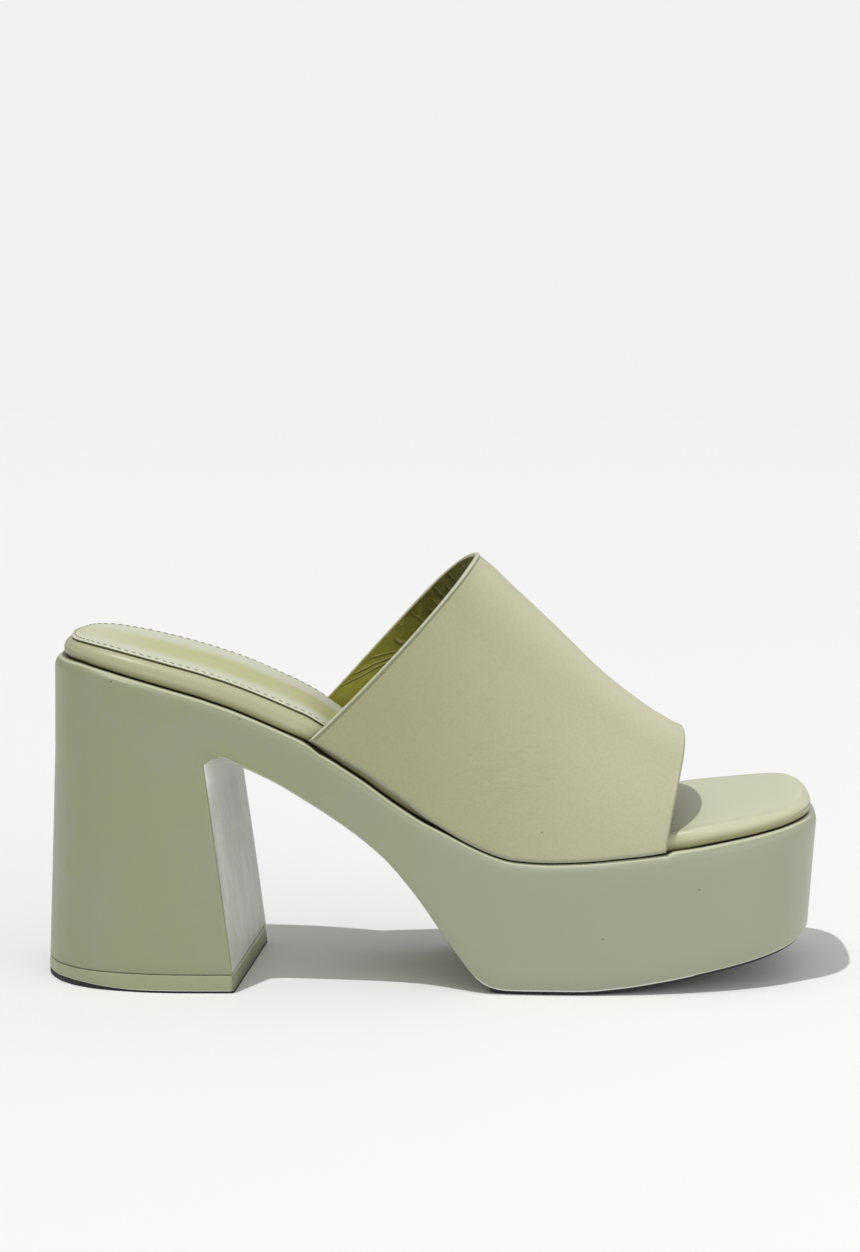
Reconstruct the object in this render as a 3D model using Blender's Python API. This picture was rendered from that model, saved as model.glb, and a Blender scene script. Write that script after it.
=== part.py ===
"""Platform mule for the right foot: a wrapped sole unit with a block heel, its lift and rubber pieces,
a wrapped footbed with a sock, and one wide band over the instep.

Lengths are in millimetres in the tables and in metres in the finished meshes.
+X points to the toe, -Y is the outer (lateral) side, +Z is up and the floor is z = 0.
"""

import math
from collections import namedtuple

import bmesh
import bpy
import numpy as np

# Driving sizes, in millimetres
RIM_RADIUS = 3.0
FLOOR_EDGE_RADIUS = 1.3
CORNER_EASE = 0.8
TOUCH_GAP = 0.3
OUTSOLE_THICK = 1.2
TOP_PIECE_THICK = 1.3
LIFT_TOP = 5.4
HEEL_JOIN_HEIGHT = 68.0
HEEL_BASE_BACK = -2.65
HEEL_BASE_FRONT = 9.0
HEEL_BASE_SPREAD = 0.07
FOOTBED_EDGE_RADIUS = 2.5
SOCK_INSET = 5.0
SOCK_THICK = 0.9
SOCK_DOME = 0.5
SOCK_FRONT = 42.0
BAND_THICK = 1.8
BAND_INSET = 1.0
BAND_BEAD = 0.35
BAND_BEAD_WIDTH = 1.5
ROWS_BETWEEN_SECTIONS = 3
ACROSS = 6
BREAST_EDGE_RISE = 2.0
EDGE_STEP = 0.3
HEEL_FLOOR_LEVEL = 1.0
HEEL_BACK_X = -113.0
HEEL_CENTRE = (-88.0, 1.8)
HEEL_LINE_SLOPE = -0.05
HEEL_BLEND_START = -112.0
HEEL_BLEND_LENGTH = 48.0
LAYER_EASE = 0.3
TOP_PIECE_INSET = 0.1
OUTSOLE_START = 17.0
OUTSOLE_INSET = 0.9
FOOTBED_LOW_SIDE = 0.7
FOOTBED_RADIUS_SHARE = 0.62
SOCK_FOOTBED_MARGIN = 2.0

# Plan of the sole at its rim: one row per section from the back of the heel to the toe
Section = namedtuple("Section", "name lateral_x lateral_y medial_x medial_y")
PLAN = (
    Section("heel_back", -112.5, 1.2, -112.5, 1.2),
    Section("heel_back_curve", -111.2, -9.6, -111.2, 12.2),
    Section("heel_corner", -106.6, -19.3, -106.6, 22.4),
    Section("heel_side_back", -98.5, -26.4, -98.5, 28.4),
    Section("heel_widest", -84.0, -31.4, -83.0, 31.8),
    Section("breast", -66.0, -33.2, -60.0, 31.4),
    Section("waist_back", -48.0, -33.3, -42.0, 28.6),
    Section("waist", -30.0, -32.8, -24.0, 26.3),
    Section("arch", -12.0, -33.2, -8.0, 26.6),
    Section("ball_back", 6.0, -35.0, 10.0, 31.2),
    Section("ball_lateral", 24.0, -37.2, 28.0, 38.4),
    Section("ball_widest", 42.0, -38.2, 46.0, 43.4),
    Section("ball_medial", 60.0, -37.8, 63.0, 45.4),
    Section("toe_base", 78.0, -35.6, 80.0, 45.0),
    Section("toe_side", 94.0, -31.2, 94.0, 43.2),
    Section("toe_corner_back", 105.0, -25.6, 105.0, 40.2),
    Section("toe_corner", 111.6, -18.8, 112.2, 35.2),
    Section("toe_corner_front", 115.4, -10.0, 115.9, 27.4),
    Section("toe_front_side", 116.8, -0.5, 117.1, 18.6),
    Section("toe_front", 117.3, 9.0, 117.3, 9.0),
)
BREAST_ROW = 5 * ROWS_BETWEEN_SECTIONS

# Side view of the sole: height of its top, of its underside and how far its wall leans in per mm down
Side = namedtuple("Side", "x top underside lean")
SIDE = (
    Side(-116.0, 96.1, 68.0, -0.014),
    Side(-110.0, 96.8, 68.0, -0.014),
    Side(-104.0, 96.6, 68.0, -0.014),
    Side(-97.0, 95.3, 68.0, -0.014),
    Side(-90.0, 93.6, 68.0, -0.014),
    Side(-76.0, 89.9, 68.0, 0.000),
    Side(-66.0, 87.0, 68.0, 0.014),
    Side(-63.5, 86.1, 69.8, 0.018),
    Side(-61.0, 85.3, 70.2, 0.020),
    Side(-57.0, 83.8, 68.5, 0.024),
    Side(-45.0, 78.6, 62.7, 0.034),
    Side(-36.0, 74.2, 57.1, 0.040),
    Side(-28.0, 68.7, 51.8, 0.045),
    Side(-19.0, 62.7, 45.1, 0.050),
    Side(-12.5, 57.9, 39.2, 0.053),
    Side(-7.0, 54.2, 32.8, 0.055),
    Side(-2.0, 51.1, 26.2, 0.056),
    Side(2.5, 48.9, 19.4, 0.058),
    Side(6.5, 46.9, 13.8, 0.060),
    Side(11.0, 44.6, 7.5, 0.060),
    Side(15.0, 42.8, 3.5, 0.060),
    Side(19.5, 41.1, 1.8, 0.060),
    Side(24.0, 40.0, 1.5, 0.060),
    Side(34.0, 39.4, 1.5, 0.060),
    Side(44.0, 39.7, 1.5, 0.060),
    Side(56.0, 40.7, 2.4, 0.060),
    Side(68.0, 41.9, 4.2, 0.060),
    Side(82.0, 44.3, 6.8, 0.060),
    Side(94.0, 46.1, 9.1, 0.060),
    Side(103.0, 47.6, 11.2, 0.062),
    Side(110.0, 48.9, 13.4, 0.066),
    Side(114.0, 49.4, 15.4, 0.068),
    Side(118.0, 49.7, 17.9, 0.070),
)

# Heights of the loops of the heel block, and how far each is drawn in from the straight wall
HeelLoop = namedtuple("HeelLoop", "height drawn_in")
HEEL_LOOPS = (
    HeelLoop(56.0, 0.0),
    HeelLoop(42.0, 0.02),
    HeelLoop(28.0, 0.02),
    HeelLoop(15.0, 0.02),
    HeelLoop(6.3, 0.0),
    HeelLoop(5.7, 0.5),
)

# The footbed: how far its edge is inside the rim, its height above the sole's top and its crown
Footbed = namedtuple("Footbed", "x inset height crown")
FOOTBED = (
    Footbed(-116.0, 2.9, 4.6, 0.0),
    Footbed(-109.0, 2.8, 4.8, 0.0),
    Footbed(-103.0, 2.6, 5.2, 0.0),
    Footbed(-96.0, 2.4, 5.8, 0.0),
    Footbed(-86.0, 2.3, 6.2, 0.0),
    Footbed(-67.0, 2.3, 6.5, 0.0),
    Footbed(-45.0, 2.3, 7.0, 0.0),
    Footbed(-39.5, 2.8, 7.1, 0.0),
    Footbed(-36.5, 3.7, 7.2, 0.0),
    Footbed(-30.0, 3.7, 7.4, 0.0),
    Footbed(0.0, 3.7, 7.0, 0.2),
    Footbed(40.0, 3.7, 6.2, 0.3),
    Footbed(66.0, 3.7, 5.8, 0.3),
    Footbed(71.5, 3.7, 5.9, 0.3),
    Footbed(76.0, 2.7, 5.9, 0.3),
    Footbed(84.0, 2.2, 5.8, 0.3),
    Footbed(98.0, 2.0, 5.4, 0.4),
    Footbed(110.0, 1.9, 5.0, 0.8),
    Footbed(114.0, 1.85, 4.8, 0.6),
    Footbed(118.0, 1.8, 4.7, 0.1),
)

# The band over the instep: height of its ridge line (behind x = 14 the line of the foot above the opening),
# the gap under its lower edge, and the roundness of its section across and up
Instep = namedtuple("Instep", "x ridge edge_gap ridge_shift across up")
INSTEP = (
    Instep(-40.0, 192.0, 0.3, 2.0, 1.00, 1.05),
    Instep(-30.0, 183.0, 1.9, 2.0, 1.00, 1.05),
    Instep(-20.0, 172.0, 2.4, 2.0, 1.00, 1.05),
    Instep(-10.0, 160.5, 2.6, 2.0, 1.00, 1.05),
    Instep(0.0, 148.0, 1.2, 2.0, 1.00, 1.05),
    Instep(8.0, 135.8, 0.4, 2.0, 1.00, 1.06),
    Instep(14.0, 127.0, 0.3, 2.0, 1.00, 1.07),
    Instep(19.5, 122.0, 0.3, 2.0, 1.00, 1.07),
    Instep(25.0, 116.6, 0.3, 2.0, 1.00, 1.07),
    Instep(31.0, 110.9, 0.3, 1.8, 1.00, 1.06),
    Instep(37.0, 105.2, 0.3, 1.5, 1.00, 1.05),
    Instep(43.0, 99.3, 0.3, 1.2, 1.00, 1.04),
    Instep(49.5, 92.75, 0.3, 0.9, 0.99, 1.02),
    Instep(55.5, 87.4, 0.3, 0.6, 0.98, 1.00),
    Instep(61.0, 83.05, 0.3, 0.3, 0.97, 0.98),
    Instep(68.5, 77.65, 0.5, 0.0, 0.96, 0.96),
    Instep(76.5, 73.0, 0.6, 0.0, 0.95, 0.95),
    Instep(84.0, 69.5, 0.6, 0.0, 0.95, 0.95),
)

# Side view of the folded edge of the opening
Collar = namedtuple("Collar", "x height")
COLLAR = (
    Collar(-37.0, 73.5),
    Collar(-29.5, 80.6),
    Collar(-21.0, 89.0),
    Collar(-9.0, 101.4),
    Collar(3.0, 114.4),
    Collar(9.0, 120.9),
    Collar(14.3, 126.8),
    Collar(22.0, 135.0),
)
BAND_FRONT_LOW = 69.0
BAND_FRONT_RISE = 8.0
COLLAR_MEDIAL_RISE = 3.4
COLLAR_RISE_SKEW = 1.3
COLLAR_SEARCH = (-36.4, 20.0)
SEARCH_STEPS = 40
BAND_FRONT_ROUNDING = 1.25
BAND_CORE_DROP = 30.0
BAND_ROWS = 40
BAND_COLUMNS = 21


def smooth_value(table, column, x):
    """Height or size read from a table at x, by a cubic curve that keeps to the rows."""
    xs = np.array([row.x for row in table])
    ys = np.array([getattr(row, column) for row in table])
    slopes = np.diff(ys) / np.diff(xs)
    tangents = np.empty(len(xs))
    tangents[0] = slopes[0]
    tangents[-1] = slopes[-1]
    for i in range(1, len(xs) - 1):
        before, after = slopes[i - 1], slopes[i]
        same_way = before * after > 0
        tangents[i] = 2 * before * after / (before + after) if same_way else 0.0
    x = np.clip(np.asarray(x, float), xs[0], xs[-1])
    at = np.clip(np.searchsorted(xs, x) - 1, 0, len(xs) - 2)
    width = xs[at + 1] - xs[at]
    t = (x - xs[at]) / width
    return (
        (1 + 2 * t) * (1 - t) ** 2 * ys[at]
        + t * (1 - t) ** 2 * width * tangents[at]
        + t * t * (3 - 2 * t) * ys[at + 1]
        + t * t * (t - 1) * width * tangents[at + 1]
    )


def closed_curve(points, steps):
    """Points of a smooth closed curve through the given ones, with this many steps from each to the next."""
    points = np.asarray(points, float)
    count = len(points)
    found = []
    for i in range(count):
        before, start, end, after = (points[(i + k) % count] for k in (-1, 0, 1, 2))
        gap = np.linalg.norm(end - start)
        leave = (end - before) / (np.linalg.norm(end - start) + np.linalg.norm(start - before)) * gap
        arrive = (after - start) / (np.linalg.norm(after - end) + np.linalg.norm(end - start)) * gap
        for k in range(steps):
            t = k / steps
            found.append(
                (1 + 2 * t) * (1 - t) ** 2 * start
                + t * (1 - t) ** 2 * leave
                + t * t * (3 - 2 * t) * end
                + t * t * (t - 1) * arrive
            )
    return np.array(found)


def plan_sides():
    """Matching points of the lateral and the medial side, each with its direction inwards."""
    lateral = [(row.lateral_x, row.lateral_y) for row in PLAN]
    medial = [(row.medial_x, row.medial_y) for row in PLAN[1:-1]]
    loop = closed_curve(lateral + medial[::-1], ROWS_BETWEEN_SECTIONS)
    along = np.roll(loop, -1, axis=0) - np.roll(loop, 1, axis=0)
    along /= np.linalg.norm(along, axis=1)[:, None]
    inward = np.stack([-along[:, 1], along[:, 0]], axis=1)
    last = (len(PLAN) - 1) * ROWS_BETWEEN_SECTIONS
    near = np.arange(last + 1)
    far = (-near) % len(loop)
    return loop[near], inward[near], loop[far], inward[far]


LATERAL, LATERAL_IN, MEDIAL, MEDIAL_IN = plan_sides()


def side_point(i, far, inset):
    """Plan point of row i on one side, moved inwards from the rim."""
    if far:
        return MEDIAL[i] + MEDIAL_IN[i] * inset
    return LATERAL[i] + LATERAL_IN[i] * inset


def rim_y(x, far, inset=0.0):
    """Sideways place of the outline at x, moved inwards from the rim."""
    points = MEDIAL + MEDIAL_IN * inset if far else LATERAL + LATERAL_IN * inset
    return float(np.interp(x, points[:, 0], points[:, 1]))


def sole_top(x, t=0.0):
    """Height of the sole's top at x; it is level across, so t makes no difference."""
    return smooth_value(SIDE, "top", x)


def sole_underside(x, t=0.0):
    """Height of the sole's underside at x; it is level across, so t makes no difference."""
    return smooth_value(SIDE, "underside", x)


def moved(height_at, rise):
    """The same height curve, this much higher."""
    return lambda x, t=0.0: height_at(x, t) + rise


def row_middle(i):
    """Place along the shoe midway between the two sides of row i."""
    return (LATERAL[i][0] + MEDIAL[i][0]) / 2


def wall_inset(x, height):
    """How far the sole's wall is inside its rim at this height."""
    fall = np.maximum(sole_top(x) - RIM_RADIUS - height, 0.0)
    return smooth_value(SIDE, "lean", x) * fall


def new_part(name, material, bm):
    """Object of a finished mesh, with its normals outwards and its faces flat triangles."""
    bmesh.ops.remove_doubles(bm, verts=bm.verts, dist=0.00002)
    bmesh.ops.dissolve_degenerate(bm, edges=bm.edges, dist=0.000005)
    bmesh.ops.triangulate(bm, faces=bm.faces)
    bmesh.ops.recalc_face_normals(bm, faces=bm.faces)
    mesh = bpy.data.meshes.new(name)
    bm.to_mesh(mesh)
    bm.free()
    mesh.materials.append(material)
    part = bpy.data.objects.new(name, mesh)
    bpy.context.scene.collection.objects.link(part)
    return part


def plain_material(name, colour, roughness):
    """Material of one colour."""
    material = bpy.data.materials.new(name)
    material.use_nodes = True
    shader = material.node_tree.nodes["Principled BSDF"]
    shader.inputs["Base Color"].default_value = (*colour, 1.0)
    shader.inputs["Roughness"].default_value = roughness
    return material


def add_loop(bm, points):
    """Corners of a loop, given in millimetres."""
    return [bm.verts.new(np.asarray(point, float) / 1000.0) for point in points]


def join_loops(bm, first, second, closed=True, skip=()):
    """Faces between two loops with the same number of points."""
    count = len(first)
    for k in range(count if closed else count - 1):
        if k in skip:
            continue
        after = (k + 1) % count
        bm.faces.new((first[k], first[after], second[after], second[k]))


def slab_loop(i, levels, top_at, bottom_at):
    """Section of a slab at row i: over the top from side to side, then back underneath.

    Each level is (inset, height function); the first is the top's edge and the last the underside's edge.
    """
    points = []
    top_inset = levels[0][0]
    near = side_point(i, False, top_inset)
    far = side_point(i, True, top_inset)
    for k in range(ACROSS + 1):
        t = k / ACROSS
        x, y = near + (far - near) * t
        points.append((x, y, top_at(x, t)))
    for inset, height in levels[1:]:
        x, y = side_point(i, True, inset)
        points.append((x, y, height(x)))
    low_inset = levels[-1][0]
    near = side_point(i, False, low_inset)
    far = side_point(i, True, low_inset)
    for k in range(1, ACROSS + 1):
        t = 1 - k / ACROSS
        x, y = near + (far - near) * t
        points.append((x, y, bottom_at(x, t)))
    for inset, height in levels[-2:0:-1]:
        x, y = side_point(i, False, inset)
        points.append((x, y, height(x)))
    return points


def sole_levels(i):
    """Wall of the sole unit at row i, from the edge of its top down to the edge of its underside."""
    x = row_middle(i)
    underside = float(sole_underside(x))
    edge = 0.0 if i < BREAST_ROW else FLOOR_EDGE_RADIUS
    rise = FLOOR_EDGE_RADIUS
    if i <= BREAST_ROW:
        rise = BREAST_EDGE_RISE
    if i == BREAST_ROW:
        edge = CORNER_EASE
    middle = (float(sole_top(x)) + underside) / 2
    ease = RIM_RADIUS * (1 - math.sqrt(0.5))
    step = rise * EDGE_STEP
    return (
        (RIM_RADIUS, sole_top),
        (ease, moved(sole_top, -ease)),
        (0.0, moved(sole_top, -RIM_RADIUS)),
        (float(wall_inset(x, middle)), lambda v: (sole_top(v) + sole_underside(v)) / 2),
        (float(wall_inset(x, underside + rise)), moved(sole_underside, rise)),
        (float(wall_inset(x, underside + step)) + edge * EDGE_STEP, moved(sole_underside, step)),
        (float(wall_inset(x, underside)) + edge, sole_underside),
    )


def heel_point(point, height, drawn_in):
    """Point of the heel block straight below a point of its join to the sole, at this height."""
    x, y = point[0], point[1]
    centre_x, centre_y = HEEL_CENTRE
    down = (HEEL_JOIN_HEIGHT - height) / (HEEL_JOIN_HEIGHT - HEEL_FLOOR_LEVEL)
    middle = centre_y + HEEL_LINE_SLOPE * (x - HEEL_BACK_X)
    forward = min(max((x - HEEL_BLEND_START) / HEEL_BLEND_LENGTH, 0.0), 1.0)
    x += down * (HEEL_BASE_BACK * (1 - forward) + HEEL_BASE_FRONT * forward)
    y = middle + (y - middle) * (1 + HEEL_BASE_SPREAD * down * (1 - forward))
    reach = max(abs(y - middle), abs(x - centre_x), 1.0)
    scale = 1 - drawn_in / reach
    return (centre_x + (x - centre_x) * scale, middle + (y - middle) * scale, height)


def heel_outline():
    """Loop of the heel block at its join to the sole: lateral side, breast, medial side."""
    insets = [sole_levels(i)[-1][0] for i in range(BREAST_ROW + 1)]
    near = [side_point(i, False, inset) for i, inset in enumerate(insets)]
    far = [side_point(i, True, inset) for i, inset in enumerate(insets)]
    breast = [near[-1] + (far[-1] - near[-1]) * k / ACROSS for k in range(1, ACROSS)]
    return near + breast + far[:0:-1]


def make_sole_unit(material):
    """Heel block, arch and platform as one wrapped body."""
    bm = bmesh.new()
    last = len(LATERAL) - 1
    loops = [add_loop(bm, slab_loop(i, sole_levels(i), sole_top, sole_underside)) for i in range(last + 1)]
    low_start = ACROSS + len(sole_levels(0)) - 1
    under = range(low_start, low_start + ACROSS)
    for i in range(last):
        join_loops(bm, loops[i], loops[i + 1], skip=under if i < BREAST_ROW else ())
    # The heel block goes on down from the edge that the skipped faces leave open
    near = [loops[i][low_start + ACROSS] for i in range(BREAST_ROW + 1)]
    far = [loops[i][low_start] for i in range(BREAST_ROW + 1)]
    breast = [loops[BREAST_ROW][low_start + ACROSS - k] for k in range(1, ACROSS)]
    upper = near + breast + far[:0:-1]
    outline = heel_outline()
    for loop in HEEL_LOOPS:
        lower = add_loop(bm, [heel_point(point, loop.height, loop.drawn_in) for point in outline])
        join_loops(bm, upper, lower)
        upper = lower
    bm.faces.new(upper)
    return new_part("sole_unit", material, bm)


def make_heel_layer(name, material, low, high, drawn_in):
    """Flat layer under the heel block, with eased edges."""
    bm = bmesh.new()
    outline = heel_outline()
    levels = (
        (high, drawn_in + LAYER_EASE),
        (high - LAYER_EASE, drawn_in),
        (low + LAYER_EASE, drawn_in),
        (low, drawn_in + LAYER_EASE),
    )
    loops = []
    for height, inset in levels:
        loops.append(add_loop(bm, [heel_point(point, height, inset) for point in outline]))
    for upper, lower in zip(loops, loops[1:]):
        join_loops(bm, upper, lower)
    bm.faces.new(loops[0])
    bm.faces.new(loops[-1])
    return new_part(name, material, bm)


def make_outsole(material):
    """Thin rubber under the platform, flat at the ball and rising to the toe."""
    bm = bmesh.new()
    first = next(i for i in range(len(LATERAL)) if LATERAL[i][0] > OUTSOLE_START)
    top = moved(sole_underside, -TOUCH_GAP)
    bottom = moved(top, -OUTSOLE_THICK)
    loops = []
    for i in range(first, len(LATERAL)):
        x = row_middle(i)
        base = float(wall_inset(x, sole_underside(x))) + OUTSOLE_INSET
        levels = (
            (base + LAYER_EASE, top),
            (base, moved(top, -LAYER_EASE)),
            (base, moved(bottom, LAYER_EASE)),
            (base + LAYER_EASE, bottom),
        )
        loops.append(add_loop(bm, slab_loop(i, levels, top, bottom)))
    for before, after in zip(loops, loops[1:]):
        join_loops(bm, before, after)
    bm.faces.new(loops[0])
    return new_part("forefoot_outsole", material, bm)


def footbed_value(column, x):
    """Size read from the footbed's table."""
    return smooth_value(FOOTBED, column, x)


def footbed_top(x, t=0.0):
    """Height of the footbed's upper face; t runs from 0 at one side to 1 at the other."""
    crown = footbed_value("crown", x) * (1 - (2 * t - 1) ** 4)
    return sole_top(x) + footbed_value("height", x) + crown


def make_footbed(material):
    """Board and foam wrapped in leather, with a rounded edge all round."""
    bm = bmesh.new()
    bottom = moved(sole_top, TOUCH_GAP)
    loops = []
    for i in range(len(LATERAL)):
        x = row_middle(i)
        inset = float(footbed_value("inset", x))
        radius = min(FOOTBED_EDGE_RADIUS, float(footbed_value("height", x)) * FOOTBED_RADIUS_SHARE)
        levels = []
        for turn in (0, 30, 60, 90):
            side = radius * (1 - math.sin(math.radians(turn)))
            down = radius * (1 - math.cos(math.radians(turn)))
            levels.append((inset + side, moved(footbed_top, -down)))
        levels.append((inset, moved(bottom, FOOTBED_LOW_SIDE)))
        levels.append((inset + FOOTBED_LOW_SIDE, bottom))
        loops.append(add_loop(bm, slab_loop(i, levels, footbed_top, bottom)))
    for before, after in zip(loops, loops[1:]):
        join_loops(bm, before, after)
    return new_part("footbed", material, bm)


def sock_bottom(x, t=0.0):
    """Height of the sock's lower face."""
    return footbed_top(x, t) + TOUCH_GAP


def sock_top(x, t=0.0):
    """Height of the sock's upper face, a little higher along its middle."""
    return sock_bottom(x, t) + SOCK_THICK + SOCK_DOME * (1 - (2 * t - 1) ** 2)


def make_sock(material):
    """Thin padded sock on the footbed, from the heel to under the band."""
    bm = bmesh.new()
    loops = []
    for i in range(len(LATERAL)):
        if LATERAL[i][0] > SOCK_FRONT:
            break
        inset = max(SOCK_INSET, float(footbed_value("inset", row_middle(i))) + SOCK_FOOTBED_MARGIN)
        levels = (
            (inset + SOCK_THICK, moved(sock_top, -0.04)),
            (inset + 0.25, moved(sock_top, -0.25)),
            (inset, moved(sock_top, -0.55)),
            (inset + 0.2, sock_bottom),
        )
        loops.append(add_loop(bm, slab_loop(i, levels, sock_top, sock_bottom)))
    for before, after in zip(loops, loops[1:]):
        join_loops(bm, before, after)
    bm.faces.new(loops[-1])
    return new_part("sock", material, bm)


def instep_value(column, x):
    """Size read from the band's table."""
    return float(smooth_value(INSTEP, column, x))


def instep_point(x, v):
    """Point of the band's outer face at x; v runs from 0 at the lateral edge over the ridge to 1."""
    near = rim_y(x, False, BAND_INSET)
    far = rim_y(x, True, BAND_INSET)
    low = float(sole_top(x)) + instep_value("edge_gap", x)
    angle = math.pi * v
    across = math.copysign(abs(math.cos(angle)) ** instep_value("across", x), math.cos(angle))
    up = max(math.sin(angle), 0.0) ** instep_value("up", x)
    y = (near + far) / 2 - across * (far - near) / 2 + instep_value("ridge_shift", x) * up
    z = low + (instep_value("ridge", x) - low) * up
    return np.array([x, y, z])


def collar_x(v):
    """Where the folded edge crosses the line v of the band."""
    low, high = COLLAR_SEARCH
    medial = max(2 * v - 1, 0.0)
    rise = COLLAR_MEDIAL_RISE * math.sin(math.pi * medial**COLLAR_RISE_SKEW)
    for _ in range(SEARCH_STEPS):
        x = (low + high) / 2
        if instep_point(x, v)[2] > float(smooth_value(COLLAR, "height", x)) + rise:
            low = x
        else:
            high = x
    return (low + high) / 2


def front_x(v):
    """Where the front edge crosses the line v of the band."""
    return BAND_FRONT_LOW + BAND_FRONT_RISE * max(math.sin(math.pi * v), 0.0) ** BAND_FRONT_ROUNDING


def band_columns(length):
    """Shares of the length from the folded edge to the front one, close together at the bead."""
    fine = [0.0, BAND_BEAD_WIDTH / length, (BAND_BEAD_WIDTH + 0.5) / length]
    rest = np.linspace(fine[-1], 1.0, BAND_COLUMNS - 1)[1:]
    return fine + list(rest)


def make_band(material):
    """One hollow wall over the instep, open behind, in front and underneath."""
    rows = []
    for k in range(BAND_ROWS + 1):
        v = k / BAND_ROWS
        start, end = collar_x(v), front_x(v)
        rows.append([instep_point(start + (end - start) * u, v) for u in band_columns(end - start)])
    outer = np.array(rows)
    along_v = np.gradient(outer, axis=0)
    along_u = np.gradient(outer, axis=1)
    normal = np.cross(along_v, along_u)
    normal /= np.linalg.norm(normal, axis=2)[:, :, None]
    middle = outer.mean(axis=(0, 1)) - np.array([0.0, 0.0, BAND_CORE_DROP])
    if (normal * (outer - middle)).sum() < 0:
        normal = -normal
    # The lower edges are cut level, so the wall there is measured sideways only
    flat = normal[[0, -1]].copy()
    flat[:, :, 2] = 0.0
    flat[:, :, 0] = 0.0
    normal[[0, -1]] = flat / np.linalg.norm(flat, axis=2)[:, :, None]
    inner = outer - normal * BAND_THICK
    outer[:, 0:2] += normal[:, 0:2] * BAND_BEAD
    bm = bmesh.new()
    outside = [add_loop(bm, row) for row in outer]
    inside = [add_loop(bm, row) for row in inner]
    for before, after in zip(outside, outside[1:]):
        join_loops(bm, before, after, closed=False)
    for before, after in zip(inside, inside[1:]):
        join_loops(bm, after, before, closed=False)
    join_loops(bm, inside[0], outside[0], closed=False)
    join_loops(bm, outside[-1], inside[-1], closed=False)
    for end in (0, -1):
        join_loops(bm, [row[end] for row in outside], [row[end] for row in inside], closed=False)
    return new_part("band", material, bm)


def centre_over_origin(parts):
    """Moves every mesh so that the shoe's box is centred on the origin and stands on z = 0."""
    corners = np.array([vertex.co for part in parts for vertex in part.data.vertices])
    low, high = corners.min(axis=0), corners.max(axis=0)
    shift = np.array([(low[0] + high[0]) / 2, (low[1] + high[1]) / 2, low[2]])
    for part in parts:
        for vertex in part.data.vertices:
            vertex.co = np.array(vertex.co) - shift
        part.data.update()


def build():
    """Makes the seven parts of the shoe."""
    for thing in list(bpy.data.objects):
        bpy.data.objects.remove(thing, do_unlink=True)
    sage = plain_material("sage_leather", (0.33, 0.35, 0.21), 0.45)
    pale = plain_material("pale_sage_leather", (0.56, 0.58, 0.40), 0.55)
    rand = plain_material("yellow_green_leather", (0.42, 0.42, 0.24), 0.5)
    rubber = plain_material("black_rubber", (0.02, 0.02, 0.02), 0.7)
    parts = [
        make_sole_unit(sage),
        make_heel_layer("heel_lift", sage, TOP_PIECE_THICK + TOUCH_GAP, LIFT_TOP, 0.0),
        make_heel_layer("heel_top_piece", rubber, 0.0, TOP_PIECE_THICK, TOP_PIECE_INSET),
        make_outsole(rubber),
        make_footbed(rand),
        make_sock(pale),
        make_band(pale),
    ]
    centre_over_origin(parts)


build()
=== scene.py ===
"""Looks of a platform mule for the right foot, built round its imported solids.

Sizes in the tables and classes are millimetres in the maker's own layout. Finished meshes are in metres in
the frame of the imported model. +X points to the toe, -Y is the outer (lateral) side and +Z is up.
"""

import logging
import math
from dataclasses import dataclass, field
from enum import Enum
from typing import Any, Callable, NamedTuple, Sequence

import bmesh
import bpy
import numpy as np
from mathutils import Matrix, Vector


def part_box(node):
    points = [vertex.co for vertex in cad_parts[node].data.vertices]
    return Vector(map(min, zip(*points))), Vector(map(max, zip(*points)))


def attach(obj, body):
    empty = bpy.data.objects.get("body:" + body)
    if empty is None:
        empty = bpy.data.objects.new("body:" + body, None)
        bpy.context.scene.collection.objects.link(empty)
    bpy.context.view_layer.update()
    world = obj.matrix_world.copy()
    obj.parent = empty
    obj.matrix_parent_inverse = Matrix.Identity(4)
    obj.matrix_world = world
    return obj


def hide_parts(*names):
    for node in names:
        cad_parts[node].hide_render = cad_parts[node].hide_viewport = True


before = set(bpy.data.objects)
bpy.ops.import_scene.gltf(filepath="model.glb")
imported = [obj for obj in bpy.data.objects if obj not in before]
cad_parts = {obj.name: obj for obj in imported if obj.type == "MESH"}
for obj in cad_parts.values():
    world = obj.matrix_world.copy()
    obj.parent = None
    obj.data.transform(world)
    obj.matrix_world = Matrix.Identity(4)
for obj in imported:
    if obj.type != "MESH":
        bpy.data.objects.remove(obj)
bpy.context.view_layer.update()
LOG = logging.getLogger("platform_mule")
MM = 0.001
Numbers = Any


# Tables of the shoe's form, one row for each section


class PlanRow(NamedTuple):
    """Plan of the sole at its rim: a place on the outer side and the matching one on the inner side."""

    name: str
    lateral_x: float
    lateral_y: float
    medial_x: float
    medial_y: float


class SideRow(NamedTuple):
    """Side view of the sole: its top, its underside and how far the wall leans in per millimetre down."""

    x: float
    top: float
    underside: float
    lean: float


class HeelRow(NamedTuple):
    """Height on the heel block and how far the wall is drawn in there."""

    height: float
    drawn_in: float


class FootbedRow(NamedTuple):
    """The footbed: inset of its edge from the rim, height above the sole's top and crown."""

    x: float
    inset: float
    height: float
    crown: float


class InstepRow(NamedTuple):
    """The band: height of its ridge, gap under its lower edge, and roundness of its section."""

    x: float
    ridge: float
    edge_gap: float
    ridge_shift: float
    up: float
    across: float


class CollarRow(NamedTuple):
    """Side view of the band's folded rear edge."""

    x: float
    height: float


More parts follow.
